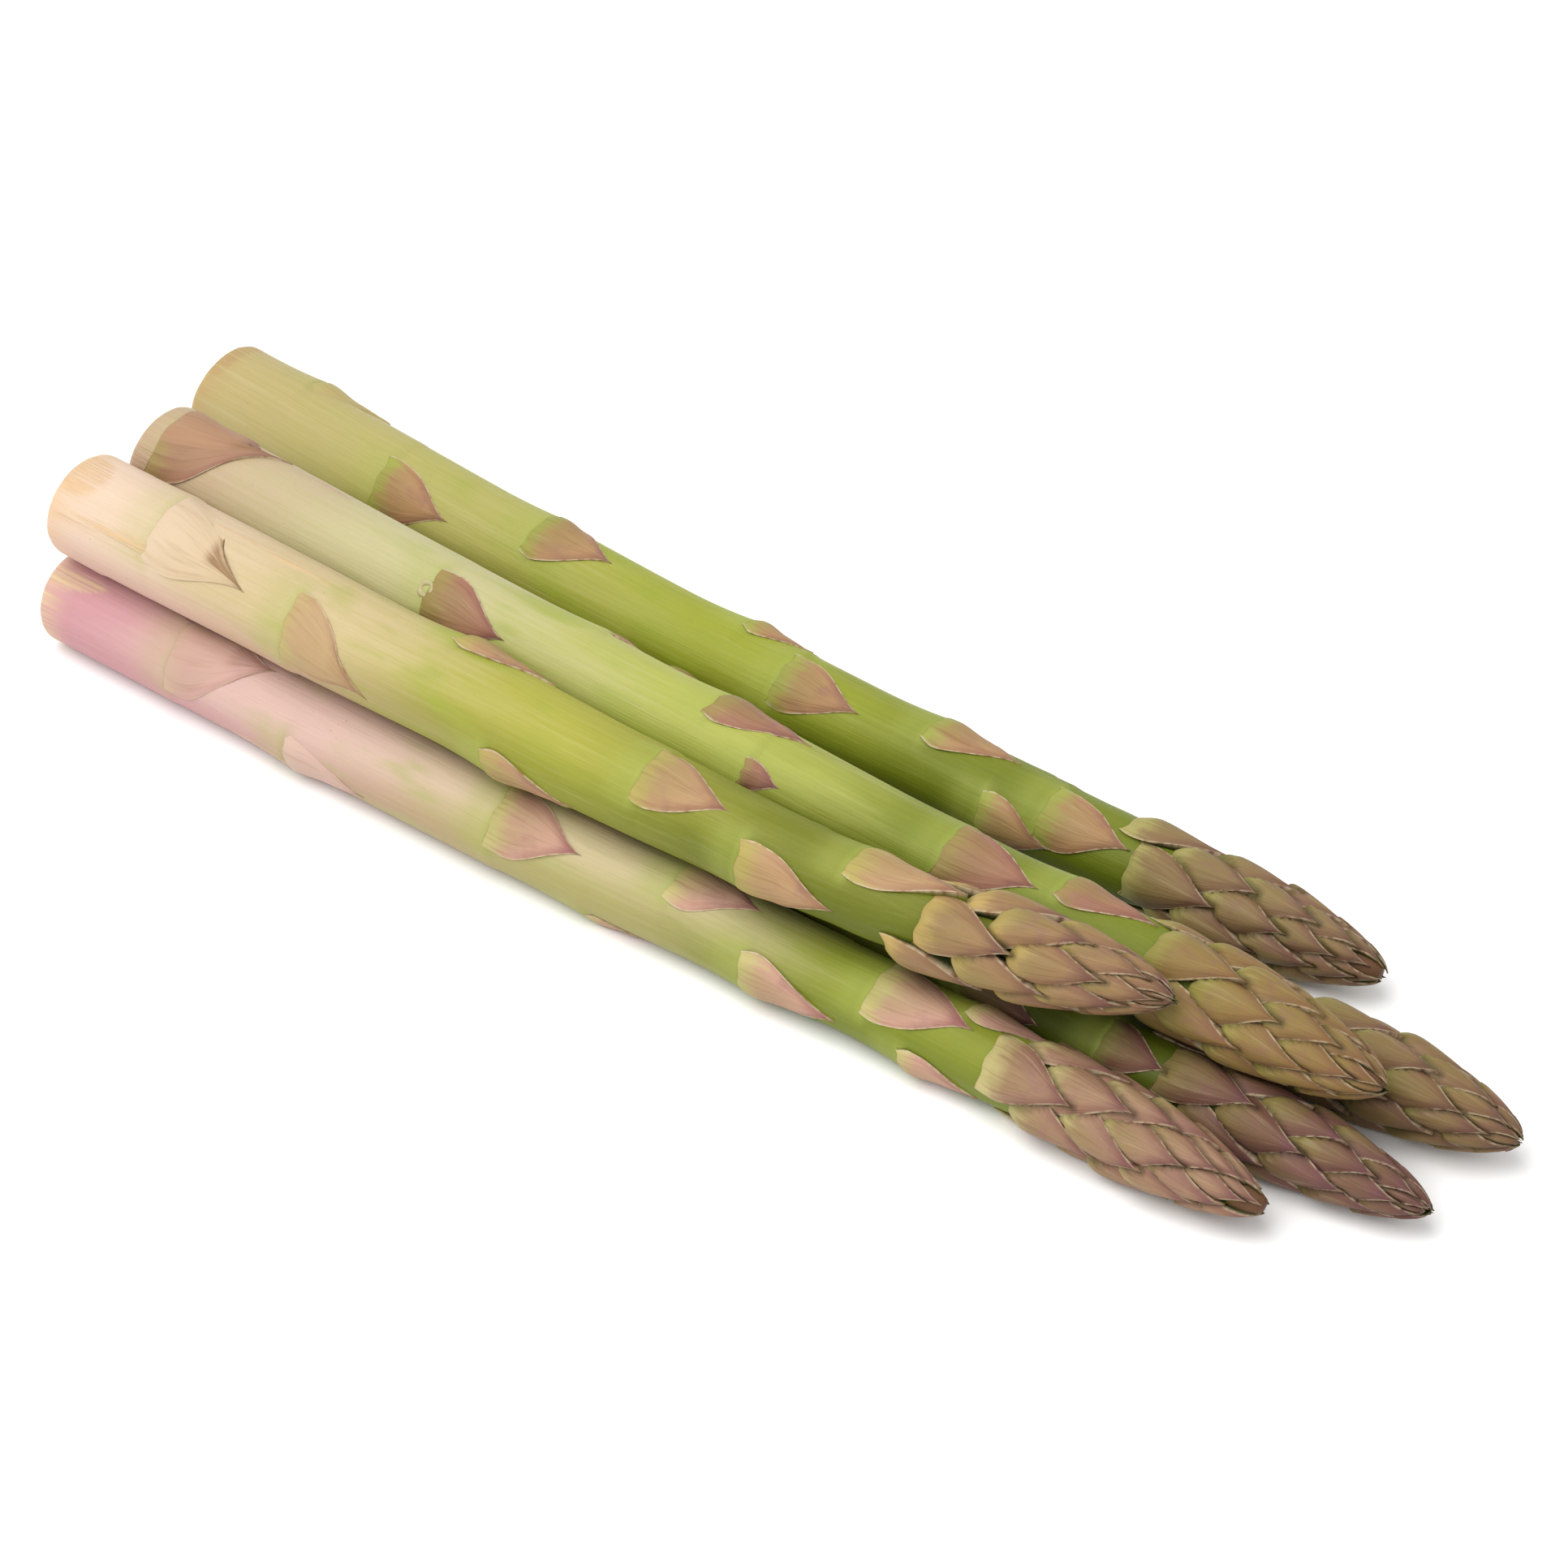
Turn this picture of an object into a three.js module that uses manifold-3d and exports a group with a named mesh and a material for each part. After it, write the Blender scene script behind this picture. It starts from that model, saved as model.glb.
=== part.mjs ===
// A loose bundle of six fresh asparagus spears, as cut, lying on a table.
// Four spears lie side by side and two lie on top, in the grooves between them.
//
// Lengths are millimetres and angles are degrees. +X runs from the cut butts to the tips,
// +Z is up, and the table is z = 0. The origin is on the table, under the middle of the
// bundle. Each spear grew as one piece, so each is one solid: a tapering stem with a bud
// head, and the scale leaves that grow from it in a spiral.
//
// A point of a spear is given by x, by its angle round the spine (0 points to +Y, 90 up)
// and by its distance from the spine. Every solid of a spear reaches inwards to its core,
// so joining them leaves no hollows.

import * as THREE from 'three';
import { mergeVertices } from 'three/addons/utils/BufferGeometryUtils.js';
import Module from 'manifold-3d';

const wasm = await Module();
wasm.setup();

// ---- Driving dimensions -------------------------------------------------------------

const STEM_SIDES = 14; // flats round a stem
const RING_STEP = 15; // longest plain stretch of stem between two rings

const HEAD_PEAK = 24; // from the tip to the thickest place of the head
const HEAD_END = 48; // from the tip to the neck, where the head ends
const CORE_SHARE = 0.7; // core of the head, as a share of its outer radius
const TIP_RADIUS = 0.45; // blunt end of the core

const BUTT_CHAMFER = 0.9; // rounded rim of the cut butt, along the stem
const BUTT_RIM = 0.92; // radius of the cut face, as a share of the stem's
const CUT_FADE = 9; // the slant of a cut dies out over this length of stem

const SWELL_HEIGHT = 0.55; // how far a stem swells out before a scale leaf
const SWELL_LENGTH = 12;
const SWELL_DROP = 1; // length over which it falls back behind the scale's base

const HEAD_CORE_FROM = 45; // from the tip to where the core starts to thin
const HEAD_SCALES = 25;
const HEAD_SCALE_LENGTH = 14.5; // length and width of a scale low on the head
const HEAD_SCALE_WIDTH = 9.6;
const LENGTH_FADE = 7.5; // scales get smaller over these distances from the tip
const WIDTH_FADE = 16;

const SCALE_EDGE = 0.4; // height of a scale's rim above the stem
const SCALE_BULGE = 0.55; // extra height along its middle
const ROOT_SHARE = 0.5; // scales are rooted at this share of the core's radius

const HALF_GAP = 0.17; // half of the gap kept between two spears that press together
const TABLE = { length: 400, width: 200, depth: 20 }; // block that trims what lies on it

// x: butt and tip. y, z: the spine, at equal steps from butt to tip. radius: of the butt,
// the neck and the head. cut: how far the butt's cut slants, and the side that sticks out.
// head: of the head's lowest scale, its distance from the tip and its angle; then for each
// next scale, its turn, close to the golden angle of 137.5, and its share of that distance.
// scales: one row for each scale leaf of the stem, from the butt up, with its distance
// from the butt, its angle, its length and its width.
const SPEARS = [
  {
    name: 'spear_back',
    color: 0x9fae55,
    x: [-118, 88.5],
    y: [24.0, 21.7, 20.2, 20.7, 21.7, 23.8],
    z: [7.2, 6.9, 6.7, 6.4, 6.2, 6.2],
    radius: [7.6, 5.8, 6.5],
    cut: [0.9, 225],
    head: [41.8, 55, -135.7, 0.959],
    scales: [
      [15.5, 38, 13, 10],
      [36, 137, 13.5, 10],
      [62.5, 84, 13, 12],
      [83.5, 225, 13, 10],
      [98.5, 48, 10, 8],
      [108.5, 115, 13.5, 9.5],
      [121.5, 268, 13, 9],
      [132, 68, 14, 10],
      [144.5, 167, 12, 9],
      [149.5, 320, 12, 8],
      [153.5, 120, 14, 10],
    ],
  },
  {
    name: 'spear_inner_back',
    color: 0x8c9a48,
    x: [-89.5, 120.5],
    y: [5.9, 5.4, 5.0, 5.2, 6.0, 7.9],
    z: [6.75, 6.65, 6.45, 6.3, 6.5, 6.7],
    radius: [7.1, 5.6, 7.0],
    cut: [0.4, 200],
    head: [40.6, 123, -138.4, 0.95],
    scales: [
      [20, 130, 13, 10],
      [44, 265, 13, 10],
      [66, 40, 13, 10],
      [87, 180, 13, 9.5],
      [106, 320, 13, 9],
      [122, 95, 13, 9],
      [137, 230, 13, 9],
      [149, 10, 12, 8.5],
      [159, 150, 12, 8.5],
    ],
  },
  {
    name: 'spear_inner_front',
    color: 0x7f9140,
    x: [-92.5, 117.5],
    y: [-9.0, -9.3, -9.3, -9.0, -9.8, -9.2],
    z: [6.65, 6.55, 6.2, 5.8, 5.6, 5.7],
    radius: [7.0, 5.2, 5.9],
    cut: [0.6, 90],
    head: [45.1, 22, -137.6, 0.95],
    scales: [
      [22, 60, 13, 10],
      [45, 200, 13, 10],
      [68, 320, 13, 10],
      [88, 95, 13, 9.5],
      [107, 235, 13, 9],
      [124, 10, 13, 9],
      [138, 150, 13, 9],
      [149, 290, 12, 8.5],
      [160, 122, 10, 8],
    ],
  },
  {
    name: 'spear_front',
    color: 0xb3b070,
    x: [-105.7, 101],
    y: [-24.1, -24.0, -23.7, -22.2, -21.5, -22.5],
    z: [6.75, 6.65, 6.4, 6.2, 6.2, 6.5],
    radius: [7.1, 5.4, 6.2],
    cut: [0.4, 130],
    head: [45.6, 354, 139.1, 0.959],
    scales: [
      [25.4, 117, 15.5, 15],
      [45.7, 200, 14, 10],
      [62.7, 330, 13, 10],
      [81.7, 130, 14.5, 11],
      [97.7, 250, 13, 9],
      [110.2, 92, 13.5, 10],
      [124.2, 188, 15.5, 10],
      [134.7, 320, 13, 9],
      [143.7, 105, 15.5, 11.3],
      [150.2, 195, 12, 8.5],
      [156.7, 50, 14.5, 8.5],
    ],
  },
  {
    name: 'spear_top_back',
    color: 0xa9b060,
    x: [-103.9, 106],
    y: [-5.3, -5.6, -5.7, -4.9, -3.5, -3.2],
    z: [21.4, 20.6, 19.7, 18.4, 17.3, 16.4],
    radius: [7.2, 5.6, 7.1],
    cut: [0.7, 225],
    head: [40, 9, -137.3, 0.956],
    scales: [
      [4.4, 82, 18.5, 16],
      [27.9, 250, 13, 10],
      [53.9, 137, 14, 11],
      [77.9, 0, 13, 10],
      [99.9, 66, 15, 10],
      [109.4, 142, 6, 4.5],
      [119.9, 240, 13, 9],
      [140.9, 109, 14.5, 10.5],
      [149.9, 215, 13, 8.5],
      [157.9, 70, 14, 8.5],
      [162.4, 330, 12, 8.5],
    ],
  },
  {
    name: 'spear_top_front',
    color: 0xb9ad72,
    x: [-104.9, 77.6],
    y: [-20.9, -20.9, -20.5, -20.0, -18.1, -11.8],
    z: [21.8, 21.7, 21.5, 21.3, 21.7, 22.6],
    radius: [7.8, 5.5, 6.85],
    cut: [0.6, 175],
    head: [38.5, 224, 135.9, 0.942],
    scales: [
      [7.9, 300, 12, 10],
      [24, 120, 10, 7],
      [43.9, 155, 14, 12],
      [66.4, 40, 15, 10],
      [78.4, 183, 14.5, 10],
      [90.9, 280, 13, 9],
      [102.9, 110, 14, 10],
      [120.9, 177, 15.5, 10.5],
      [127.9, 330, 13, 8.5],
      [135.9, 82, 16.5, 9],
    ],
  },
];

// ---- Curves and radii ---------------------------------------------------------------

const radians = THREE.MathUtils.degToRad;
const smooth = (value) => THREE.MathUtils.smoothstep(value, 0, 1);

// Value at t, 0 to 1, of the smooth curve through evenly spaced values.
function along(values, t) {
  const last = values.length - 1;
  const place = THREE.MathUtils.clamp(t, 0, 1) * last;
  const i = Math.min(Math.floor(place), last - 1);
  const before = i > 0 ? values[i - 1] : 2 * values[0] - values[1];
  const after = i < last - 1 ? values[i + 2] : 2 * values[last] - values[last - 1];
  const slopeIn = (values[i + 1] - before) / 2;
  const slopeOut = (after - values[i]) / 2;
  const f = place - i;
  const rise = values[i + 1] - values[i];
  return values[i] + f * slopeIn + f * f * (3 * rise - 2 * slopeIn - slopeOut)
    + f * f * f * (slopeIn + slopeOut - 2 * rise);
}

// The spine's y and z at a given x.
function spine(spear, x) {
  const t = (x - spear.x[0]) / (spear.x[1] - spear.x[0]);
  return [along(spear.y, t), along(spear.z, t)];
}

// Outer radius, scales of the head included, at a distance from the tip: a pointed bud up
// to its thickest place, a soft shoulder down to the neck, then a stem that thickens to
// the butt along a parabola.
function outerRadius(spear, fromTip) {
  const [butt, neck, head] = spear.radius;
  if (fromTip < HEAD_PEAK) {
    const bud = 1 - (1 - Math.max(fromTip, 0) / HEAD_PEAK) ** 1.7;
    return TIP_RADIUS + (head - TIP_RADIUS) * bud ** 0.62;
  }
  if (fromTip < HEAD_END) {
    return neck + (head - neck) * smooth((HEAD_END - fromTip) / (HEAD_END - HEAD_PEAK));
  }
  const t = (fromTip - HEAD_END) / (spear.x[1] - spear.x[0] - HEAD_END);
  return neck + (butt - neck) * (1 - (1 - t) ** 2);
}

// Radius of the core that the head's scales stand on. Below the head it is the stem.
function coreRadius(spear, fromTip) {
  const inHead = smooth((HEAD_CORE_FROM - fromTip) / (HEAD_CORE_FROM - HEAD_PEAK));
  return outerRadius(spear, fromTip) * (1 - (1 - CORE_SHARE) * inHead);
}

// How far the stem swells out at x and angle, before each scale leaf that grows from it.
function swelling(spear, x, angle) {
  let height = 0;
  for (const [place, side] of spear.scales) {
    const ahead = x - spear.x[0] - place;
    const rise = THREE.MathUtils.clamp(1 + ahead / SWELL_LENGTH, 0, 1) ** 2;
    const fall = THREE.MathUtils.clamp(1 - ahead / SWELL_DROP, 0, 1);
    const facing = Math.abs(Math.cos(radians(angle - side) / 2)) ** 6;
    height += SWELL_HEIGHT * rise * fall * facing;
  }
  return height;
}

// The farthest that a spear may reach at x and angle before it meets a neighbour: two
// spears that press together are both flattened along the plane between them. Past the
// ends of a neighbour that plane draws away.
function roomAt(spear, x, angle) {
  const [y, z] = spine(spear, x);
  const own = outerRadius(spear, spear.x[1] - x);
  let room = Infinity;
  for (const other of SPEARS) {
    if (other === spear) continue;
    const beyond = Math.max(other.x[0] - x, x - other.x[1], 0);
    const [otherY, otherZ] = spine(other, x);
    const distance = Math.hypot(otherY - y, otherZ - z);
    const theirs = outerRadius(other, other.x[1] - x);
    const plane = distance * own / (own + theirs) - HALF_GAP + beyond;
    const toOther = Math.atan2(otherZ - z, otherY - y);
    const facing = Math.cos(radians(angle) - toOther);
    if (facing > 0.05) room = Math.min(room, plane / facing);
  }
  return room;
}

// The point of a spear at x, an angle and a distance from the spine.
function pointOf(spear, x, angle, distance) {
  const [y, z] = spine(spear, x);
  const reach = Math.min(distance, roomAt(spear, x, angle));
  const turn = radians(angle);
  return [x, y + reach * Math.cos(turn), z + reach * Math.sin(turn)];
}

// ---- Solids -------------------------------------------------------------------------

// A closed solid from points and triangles, ready to be joined.
function solidFrom(points, triangles) {
  let geometry = new THREE.BufferGeometry();
  geometry.setAttribute('position', new THREE.Float32BufferAttribute(points.flat(), 3));
  geometry.setIndex(triangles.flat());
  geometry = mergeVertices(geometry, 1e-4);
  return new wasm.Manifold(new wasm.Mesh({
    numProp: 3,
    vertProperties: new Float32Array(geometry.attributes.position.array),
    triVerts: new Uint32Array(geometry.index.array),
  }));
}

// Distances from the butt at which the stem needs a ring: the top and foot of every
// swelling, the curve of the head, and enough in between.
function ringPlaces(spear) {
  const length = spear.x[1] - spear.x[0];
  const wanted = [BUTT_CHAMFER, length - HEAD_END];
  for (const [place] of spear.scales) {
    wanted.push(place, place + SWELL_DROP);
  }
  for (const fromTip of [36, HEAD_PEAK, 14, 7, 2.5]) wanted.push(length - fromTip);
  wanted.sort((a, b) => a - b);
  const places = [0];
  for (const place of wanted) {
    const last = places[places.length - 1];
    const extra = Math.ceil((place - last) / RING_STEP) - 1;
    for (let i = 1; i <= extra; i++) places.push(last + (place - last) * i / (extra + 1));
    if (place - last >= SWELL_DROP * 0.8) places.push(place);
  }
  return places;
}

// The stem and the core of the head, in one closed skin.
function stemSolid(spear) {
  const [buttX, tipX] = spear.x;
  const [slant, slantSide] = spear.cut;
  const points = [];
  const triangles = [];
  const places = ringPlaces(spear);
  for (const place of places) {
    const rim = place < BUTT_CHAMFER / 2 ? BUTT_RIM : 1;
    for (let i = 0; i < STEM_SIDES; i++) {
      const angle = (i + 0.5) * 360 / STEM_SIDES;
      const lean = slant * Math.cos(radians(angle - slantSide)) * (1 - smooth(place / CUT_FADE));
      const x = buttX + place - lean;
      const radius = coreRadius(spear, tipX - x) + swelling(spear, x, angle);
      points.push(pointOf(spear, x, angle, radius * rim));
    }
  }
  const ring = (row, i) => row * STEM_SIDES + i % STEM_SIDES;
  for (let row = 0; row + 1 < places.length; row++) {
    for (let i = 0; i < STEM_SIDES; i++) {
      triangles.push([ring(row, i), ring(row, i + 1), ring(row + 1, i + 1)]);
      triangles.push([ring(row, i), ring(row + 1, i + 1), ring(row + 1, i)]);
    }
  }
  const butt = points.push(pointOf(spear, buttX, 0, 0)) - 1;
  const tip = points.push(pointOf(spear, tipX, 0, 0)) - 1;
  for (let i = 0; i < STEM_SIDES; i++) {
    triangles.push([butt, ring(0, i + 1), ring(0, i)]);
    triangles.push([tip, ring(places.length - 1, i), ring(places.length - 1, i + 1)]);
  }
  return solidFrom(points, triangles);
}

// Half-width of a scale, as a share of its widest, at v from its base, 0, to its point, 1:
// full shoulders, then sides that draw in to a long point.
function outline(v) {
  return 1.1 * (1 - v ** 1.35) ** 1.6 * (0.84 + 1.25 * v - 0.4 * v * v);
}

// Height of a scale above the core at u across, -1 to 1, and v along. In a head, a scale
// nearer to the butt lies over the bases of the ones above it, so it rises along v.
function scaleHeight(spear, fromTip, u, v, swell) {
  const room = outerRadius(spear, fromTip) - coreRadius(spear, fromTip) - SCALE_BULGE;
  const stack = Math.max(room, 0) * (0.3 + 0.7 * smooth(v / 0.6));
  const rim = SCALE_EDGE * smooth(v / 0.25) * (1 - 0.4 * v);
  const bulge = SCALE_BULGE * (1 - u * u) * Math.sin(Math.PI * v ** 0.75);
  return 0.05 + rim + bulge + swell * (1 - smooth(v / 0.5)) + stack;
}

// One scale leaf: a thick blade, its outside on the surface and its inside in the core.
// rows lists the places along it that get a row of corners.
function scaleSolid(spear, [place, side, length, width], across, rows, swell) {
  const base = spear.x[0] + place;
  const tipX = spear.x[1];
  const outer = [];
  const inner = [];
  const addPair = (u, v) => {
    const x = Math.min(base + v * length, tipX + 0.5);
    const core = coreRadius(spear, tipX - x);
    const reach = core + scaleHeight(spear, tipX - x, u, v, swell);
    const angle = side + THREE.MathUtils.radToDeg(u * outline(v) * width / 2 / reach);
    outer.push(pointOf(spear, x, angle, reach));
    inner.push(pointOf(spear, x, angle, core * ROOT_SHARE));
  };
  for (const v of rows) {
    for (let i = 0; i <= across; i++) addPair(-1 + 2 * i / across, v);
  }
  addPair(0, 1);
  const wide = across + 1;
  const point = rows.length * wide;
  const faces = [];
  for (let row = 0; row + 1 < rows.length; row++) {
    for (let i = 0; i < across; i++) {
      const a = row * wide + i;
      faces.push([a, a + wide + 1, a + wide], [a, a + 1, a + wide + 1]);
    }
  }
  for (let i = 0; i < across; i++) {
    const a = (rows.length - 1) * wide + i;
    faces.push([a, a + 1, point]);
  }
  const rim = [];
  for (let i = 0; i <= across; i++) rim.push(i);
  for (let row = 1; row < rows.length; row++) rim.push(row * wide + across);
  rim.push(point);
  for (let row = rows.length - 1; row > 0; row--) rim.push(row * wide);
  const depth = outer.length;
  const triangles = [];
  for (const [a, b, c] of faces) {
    triangles.push([a, b, c], [a + depth, c + depth, b + depth]);
  }
  for (let i = 0; i < rim.length; i++) {
    const a = rim[i];
    const b = rim[(i + 1) % rim.length];
    triangles.push([a, b + depth, b], [a, a + depth, b + depth]);
  }
  return solidFrom([...outer, ...inner], triangles);
}

// The scales of a head: rows for scaleSolid, by the rule that most plants follow. Each
// next scale turns by the same angle and is a little nearer to the tip, and smaller.
function headScales(spear) {
  const [first, side, turn, packing] = spear.head;
  const rows = [];
  for (let k = 0; k < HEAD_SCALES; k++) {
    const fromTip = first * packing ** k;
    rows.push([
      spear.x[1] - spear.x[0] - fromTip,
      side + turn * k,
      HEAD_SCALE_LENGTH * (1 - Math.exp(-fromTip / LENGTH_FADE)),
      HEAD_SCALE_WIDTH * (1 - Math.exp(-fromTip / WIDTH_FADE)),
    ]);
  }
  return rows;
}

// A block with its top at z = 0. Cutting it away flattens the spears where they rest.
function tableSolid() {
  const block = new THREE.BoxGeometry(TABLE.length, TABLE.width, TABLE.depth);
  block.translate(0, 0, -TABLE.depth / 2);
  block.deleteAttribute('normal');
  block.deleteAttribute('uv');
  const merged = mergeVertices(block);
  return new wasm.Manifold(new wasm.Mesh({
    numProp: 3,
    vertProperties: new Float32Array(merged.attributes.position.array),
    triVerts: new Uint32Array(merged.index.array),
  }));
}

// The largest body of a solid, without the pinholes sealed in between crowded scales.
function outerBody(solid) {
  return solid.decompose().reduce((best, body) => (body.volume() > best.volume() ? body : best));
}

// A joined solid as a three.js mesh.
function meshFrom(solid, name, color) {
  const mesh = solid.getMesh();
  const geometry = new THREE.BufferGeometry();
  geometry.setAttribute('position', new THREE.BufferAttribute(mesh.vertProperties, 3));
  geometry.setIndex(new THREE.BufferAttribute(mesh.triVerts, 1));
  const material = new THREE.MeshStandardMaterial({ color, roughness: 0.55, metalness: 0 });
  const result = new THREE.Mesh(geometry, material);
  result.name = name;
  return result;
}

// ---- The bundle ---------------------------------------------------------------------

const group = new THREE.Group();
const table = tableSolid();
for (const spear of SPEARS) {
  let solid = stemSolid(spear);
  for (const row of spear.scales) {
    solid = solid.add(scaleSolid(spear, row, 4, [0, 0.42], SWELL_HEIGHT));
  }
  for (const row of headScales(spear)) {
    solid = solid.add(scaleSolid(spear, row, 2, [0, 0.5], 0));
  }
  group.add(meshFrom(outerBody(solid.subtract(table)), spear.name, spear.color));
}

export default group;
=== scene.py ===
"""Blender add-on that dresses a loose bundle of six fresh asparagus spears.

Each spear is two pieces: its stem, from the cut butt to the point, and the scale leaves
that grow from it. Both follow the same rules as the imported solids, on much finer grids.
Sizes are millimetres until a mesh is made, and angles are degrees. +X runs from the butts
to the tips and +Z is up. Round a spear, 0 points to +Y and 90 points up.
"""

import bpy
import numpy as np
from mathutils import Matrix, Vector


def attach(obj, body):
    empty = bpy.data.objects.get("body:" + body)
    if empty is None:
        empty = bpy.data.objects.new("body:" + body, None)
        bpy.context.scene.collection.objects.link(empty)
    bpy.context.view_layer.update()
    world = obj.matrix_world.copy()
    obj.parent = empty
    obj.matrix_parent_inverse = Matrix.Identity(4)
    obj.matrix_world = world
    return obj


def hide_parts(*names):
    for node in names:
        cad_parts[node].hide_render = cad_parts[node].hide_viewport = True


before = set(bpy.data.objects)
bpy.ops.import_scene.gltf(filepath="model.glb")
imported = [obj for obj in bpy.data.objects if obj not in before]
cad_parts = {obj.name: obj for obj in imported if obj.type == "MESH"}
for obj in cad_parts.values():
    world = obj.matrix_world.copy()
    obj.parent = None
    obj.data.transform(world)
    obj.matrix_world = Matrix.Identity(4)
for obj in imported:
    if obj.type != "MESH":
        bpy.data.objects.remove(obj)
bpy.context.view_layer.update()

bl_info = {
    "name": "Asparagus bundle",
    "version": (1, 0, 0),
    "blender": (4, 5, 0),
    "location": "View3D > Sidebar > Asparagus",
    "description": "Stems, scale leaves and stage for a bundle of asparagus",
    "category": "Add Mesh",
}

MM = 0.001
STAGE_LIGHT = (1.42, 1.45, 1.50)  # how much brighter than its base colour a surface looks

# ---- The six spears -----------------------------------------------------------------

# x: butt and tip. y, z: the spine, at equal steps from butt to tip. radius: of the butt,
# the neck and the head. cut: how far the butt's cut slants, and the side that sticks out.
# head: of the head's lowest scale, its distance from the tip and its angle; then for each
# next scale, its turn and its share of that distance. scales: for each scale leaf of the
# stem, its distance from the butt, its angle, its length and its width.
SPEARS = {
    "spear_back": {
        "x": (-118, 88.5),
        "y": (24.0, 21.7, 20.2, 20.7, 21.7, 23.8),
        "z": (7.2, 6.9, 6.7, 6.4, 6.2, 6.2),
        "radius": (7.6, 5.8, 6.5),
        "cut": (0.9, 225),
        "head": (41.8, 55, -135.7, 0.959),
        "scales": (
            (15.5, 38, 13, 10), (36, 137, 13.5, 10), (62.5, 84, 13, 12),
            (83.5, 225, 13, 10), (98.5, 48, 10, 8), (108.5, 115, 13.5, 9.5),
            (121.5, 268, 13, 9), (132, 68, 14, 10), (144.5, 167, 12, 9),
            (149.5, 320, 12, 8), (153.5, 120, 14, 10),
        ),
    },
    "spear_inner_back": {
        "x": (-89.5, 120.5),
        "y": (5.9, 5.4, 5.0, 5.2, 6.0, 7.9),
        "z": (6.75, 6.65, 6.45, 6.3, 6.5, 6.7),
        "radius": (7.1, 5.6, 7.0),
        "cut": (0.4, 200),
        "head": (40.6, 123, -138.4, 0.95),
        "scales": (
            (20, 130, 13, 10), (44, 265, 13, 10), (66, 40, 13, 10),
            (87, 180, 13, 9.5), (106, 320, 13, 9), (122, 95, 13, 9),
            (137, 230, 13, 9), (149, 10, 12, 8.5), (159, 150, 12, 8.5),
        ),
    },
    "spear_inner_front": {
        "x": (-92.5, 117.5),
        "y": (-9.0, -9.3, -9.3, -9.0, -9.8, -9.2),
        "z": (6.65, 6.55, 6.2, 5.8, 5.6, 5.7),
        "radius": (7.0, 5.2, 5.9),
        "cut": (0.6, 90),
        "head": (45.1, 22, -137.6, 0.95),
        "scales": (
            (22, 60, 13, 10), (45, 200, 13, 10), (68, 320, 13, 10),
            (88, 95, 13, 9.5), (107, 235, 13, 9), (124, 10, 13, 9),
            (138, 150, 13, 9), (149, 290, 12, 8.5), (160, 122, 10, 8),
        ),
    },
    "spear_front": {
        "x": (-105.7, 101),
        "y": (-24.1, -24.0, -23.7, -22.2, -21.5, -22.5),
        "z": (6.75, 6.65, 6.4, 6.2, 6.2, 6.5),
        "radius": (7.1, 5.4, 6.2),
        "cut": (0.4, 130),
        "head": (45.6, 354, 139.1, 0.959),
        "scales": (
            (24, 126, 16, 16), (45.7, 200, 14, 10), (62.7, 330, 13, 10),
            (81.7, 130, 14.5, 11), (97.7, 250, 13, 9), (110.2, 92, 13.5, 10),
            (124.2, 188, 15.5, 10), (134.7, 320, 13, 9), (143.7, 105, 15.5, 11.3),
            (150.2, 215, 12, 8.5), (156.7, 50, 14.5, 8.5),
        ),
    },
    "spear_top_back": {
        "x": (-103.9, 106),
        "y": (-5.3, -5.6, -5.7, -4.9, -3.5, -3.2),
        "z": (21.4, 20.6, 19.7, 18.4, 17.3, 16.4),
        "radius": (7.2, 5.6, 7.1),
        "cut": (0.7, 225),
        "head": (40, 9, -137.3, 0.956),
        "scales": (
            (3.8, 105, 17.5, 16), (27.9, 250, 13, 10), (53.9, 137, 14, 11),
            (77.9, 0, 13, 10), (99.9, 66, 15, 10), (109.4, 142, 6, 4.5),
            (119.9, 240, 13, 9), (140.9, 109, 14.5, 10.5), (149.9, 215, 13, 8.5),
            (157.9, 70, 14, 8.5), (162.4, 330, 12, 8.5),
        ),
    },
    "spear_top_front": {
        "x": (-104.9, 77.6),
        "y": (-20.9, -20.9, -20.5, -20.0, -18.1, -11.8),
        "z": (21.8, 21.7, 21.5, 21.3, 21.7, 22.6),
        "radius": (7.8, 5.5, 6.85),
        "cut": (0.6, 175),
        "head": (38.5, 224, 135.9, 0.942),
        "scales": (
            (7.9, 300, 12, 10), (17.3, 108, 18, 14), (43.4, 150, 15, 12),
            (66.4, 40, 15, 10), (78.4, 210, 14.5, 10), (90.9, 280, 13, 9),
            (102.9, 110, 14, 10), (120.9, 177, 15.5, 10.5), (127.9, 330, 13, 8.5),
            (135.9, 82, 16.5, 9),
        ),
    },
}

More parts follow.
